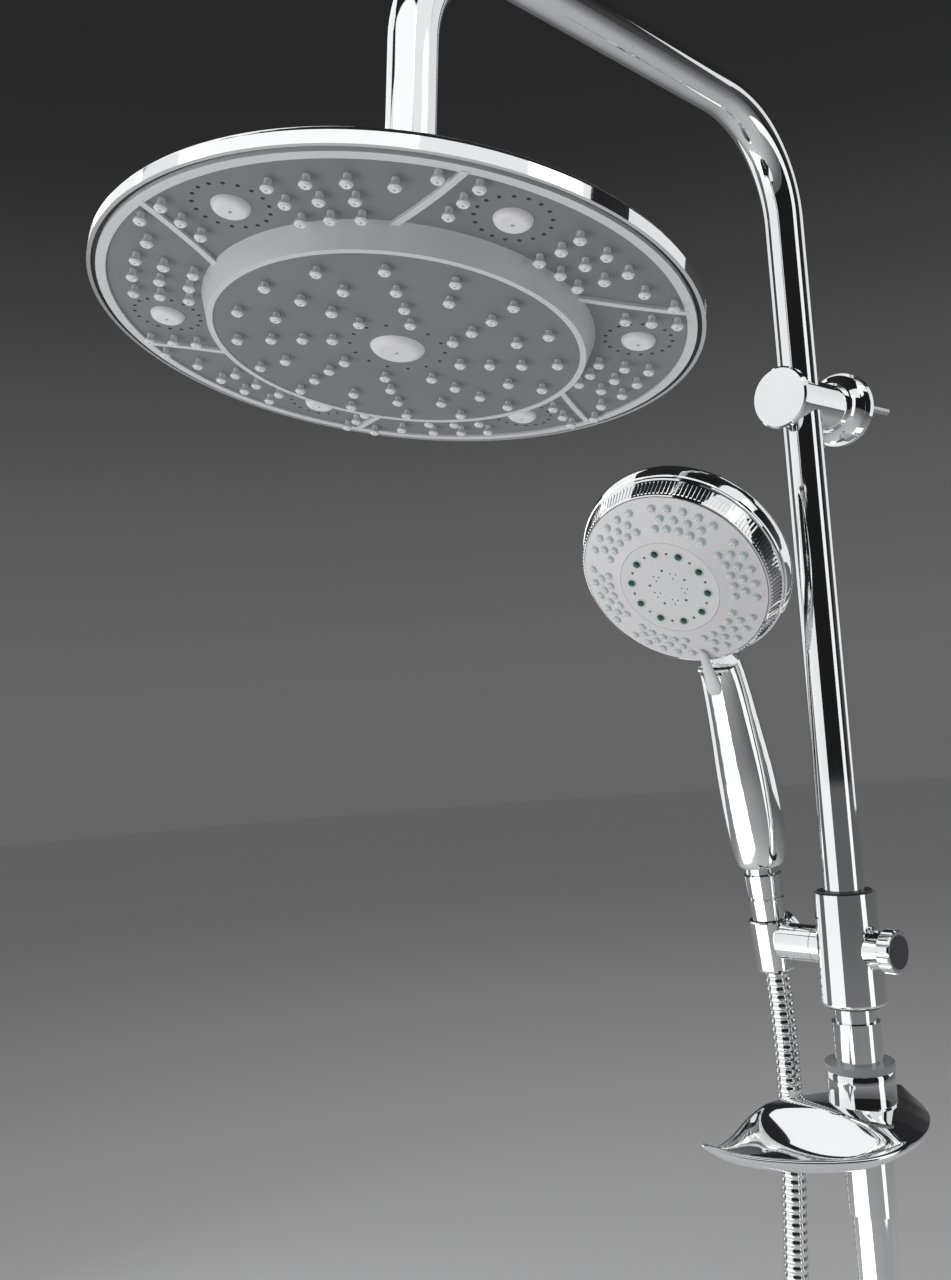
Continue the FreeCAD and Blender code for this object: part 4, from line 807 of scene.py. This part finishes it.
# %% Dress the CAD nodes
slots = {row["node"]: row["material_slot"] for row in frame["record"]["subparts"]}
for name, item in nodes.items():
    item.data.materials.clear()
    item.data.materials.append(finishes[slots[name]])
for piece, finish_name in (
    (ringed_hose, "hose_metal"), (skin, "chrome_plate"), (lever, "light_face"),
    (band, "chrome_plate"), (nodes["handset_inlet"], "chrome_plate"),
    (nodes["head_buttons"], "pale_cap"), (nodes["head_nozzles"], "pale_cap"),
    (nodes["head_disc_nozzles"], "pale_cap"), (tips, "soft_green_rubber"),
    (dish, "chrome_plate"),
):
    piece.data.materials.clear()
    piece.data.materials.append(finishes[finish_name])
tips.data.materials.append(finishes["light_face"])
for face in tips.data.polygons:
    centre = (IN_SPRAY.inverted() @ face.center) * 1000
    middle = min(places, key=lambda place: (place * 1000 - centre).length) * 1000
    if (centre.xy - middle.xy).length < PEARL_RADIUS:
        face.material_index = 1
print("dressed", len(nodes), "nodes")

# %% [markdown]
# ## Floor and light
# The column hangs over a pale floor under soft light. The floor also glows:
# its emission is painted light, brightest near the column and dimmer far away,
# standing in for the studio light that falls on it and bounces up. Chrome shows
# whatever stands round it, so the room is grey round the horizon and dark
# above and on the camera's side, and broad panels of soft light draw the
# highlights.

# %% Levels of the room
FLOOR_HEIGHT = -1.345
FAR_GREY = (0.13, 0.13, 0.132, 1)
# Painted light: the colour the floor glows with far from the column.
FLOOR_FAR_PAINTED_LIGHT = (0.102, 0.102, 0.104, 1)
CEILING_GREY = (0.020, 0.020, 0.021, 1)
DARK_ROOM = (0.012, 0.012, 0.0125, 1)
# Painted light: the brighter colour the floor glows with near the column.
NEAR_PAINTED_LIGHT = (0.18, 0.18, 0.182, 1)
FLOOR_TONES = ((0.70, 0.70, 0.71, 1), (0.74, 0.74, 0.75, 1))
# The painted light fades from near to far between these distances, in metres.
PAINTED_LIGHT_START, PAINTED_LIGHT_END = 0.8, 9.0
print("far grey", FAR_GREY[0], "ceiling grey", CEILING_GREY[0])

# %% Floor, glowing with painted light
bpy.ops.object.select_all(action="DESELECT")
bpy.ops.mesh.primitive_circle_add(
    vertices=96, radius=16.0, fill_type="NGON", location=(0, 0, FLOOR_HEIGHT)
)
floor = bpy.context.active_object
floor.name = "floor"
settle(floor)
# The floor has a pale cloudy colour and also glows with painted light at emission strength 1.
floor_finish = Finish("pale_floor_painted_light", Roughness=0.75, Emission_Strength=1.0)
cloud = floor_finish.noise(1.2, 2.0)
floor_finish.feed("Base Color", floor_finish.mix(cloud, *FLOOR_TONES))
# Painted light: the glow's share falls with distance, from the near colour to the far one.
away = floor_finish.node(
    "ShaderNodeVectorMath", {"operation": "LENGTH"}, floor_finish.place(), output="Value"
)
painted_light_share = floor_finish.node(
    "ShaderNodeMapRange", {"interpolation_type": "SMOOTHERSTEP"},
    away, PAINTED_LIGHT_START, PAINTED_LIGHT_END, 1.0, 0.0,
)
floor_finish.feed("Emission Color", floor_finish.mix(painted_light_share, FLOOR_FAR_PAINTED_LIGHT, NEAR_PAINTED_LIGHT))
floor.data.materials.append(floor_finish.material)

# %% Lamps


def soft_panel(name, place, aim, width, height, brightness):
    """A soft box at a place, facing a point, of an even surface brightness."""
    data = bpy.data.lights.new(name, "AREA")
    data.shape = "RECTANGLE"
    data.size = width
    data.size_y = height
    data.energy = brightness * math.pi * width * height
    lamp = bpy.data.objects.new(name, data)
    bpy.context.scene.collection.objects.link(lamp)
    lamp.location = place
    lamp.rotation_euler = (Vector(aim) - Vector(place)).to_track_quat("-Z", "Y").to_euler()
    lamp.visible_camera = False


MIDDLE, LOW_MIDDLE, HIGH_MIDDLE = (0, -0.1, -0.15), (0, -0.35, 0), (0, -0.3, 0)
# Each panel: name, place, aim, width, height, surface brightness.
PANELS = (
    ("front_panel", (-0.75, -1.75, 0.05), MIDDLE, 2.0, 2.5, 0.9),
    ("right_panel", (1.7, 0.25, 0.0), MIDDLE, 0.6, 2.4, 1.0),
    ("left_panel", (-2.2, -0.1, 0.2), MIDDLE, 1.2, 2.2, 0.8),
    ("high_front", (0.35, -1.9, 1.7), HIGH_MIDDLE, 3.4, 1.2, 1.1),
    ("high_left", (-1.9, -0.3, 1.6), HIGH_MIDDLE, 2.4, 1.2, 1.0),
    ("high_right", (1.8, -0.2, 1.6), HIGH_MIDDLE, 2.4, 1.2, 0.9),
    ("low_panel", (-0.4, -1.2, -1.30), LOW_MIDDLE, 2.2, 1.4, 1.5),
    ("back_panel", (1.0, 2.0, 0.5), MIDDLE, 1.4, 2.0, 0.8),
)
for panel in PANELS:
    soft_panel(*panel)
print("lamps placed")

# %% World
CAMERA_SIDE = (0.74, -0.67, 0.0)
DARK_FROM, DARK_TO, CEILING_STOP = -0.25, 0.35, 0.50
world = bpy.data.worlds.new("studio")
bpy.context.scene.world = world
world.use_nodes = True
tree = world.node_tree
background = tree.nodes["Background"]
direction = tree.nodes.new("ShaderNodeTexCoord")
split = tree.nodes.new("ShaderNodeSeparateXYZ")
ramp = tree.nodes.new("ShaderNodeValToRGB")
tree.links.new(direction.outputs["Generated"], split.inputs[0])
tree.links.new(split.outputs["Z"], ramp.inputs[0])
ramp.color_ramp.interpolation = "EASE"
ramp.color_ramp.elements[0].position = 0.0
ramp.color_ramp.elements[0].color = FAR_GREY
ramp.color_ramp.elements[1].position = CEILING_STOP
ramp.color_ramp.elements[1].color = CEILING_GREY
facing = tree.nodes.new("ShaderNodeVectorMath")
facing.operation = "DOT_PRODUCT"
facing.inputs[1].default_value = CAMERA_SIDE
tree.links.new(direction.outputs["Generated"], facing.inputs[0])
room = tree.nodes.new("ShaderNodeMapRange")
room.inputs["From Min"].default_value = DARK_FROM
room.inputs["From Max"].default_value = DARK_TO
tree.links.new(facing.outputs["Value"], room.inputs["Value"])
darker = tree.nodes.new("ShaderNodeMix")
darker.data_type = "RGBA"
darker.inputs[7].default_value = DARK_ROOM
tree.links.new(room.outputs[0], darker.inputs[0])
tree.links.new(ramp.outputs[0], darker.inputs[6])
tree.links.new(darker.outputs[2], background.inputs[0])
background.inputs[1].default_value = 1.0
print("world ready")

# %% Finish
bpy.context.scene.view_settings.view_transform = "Standard"
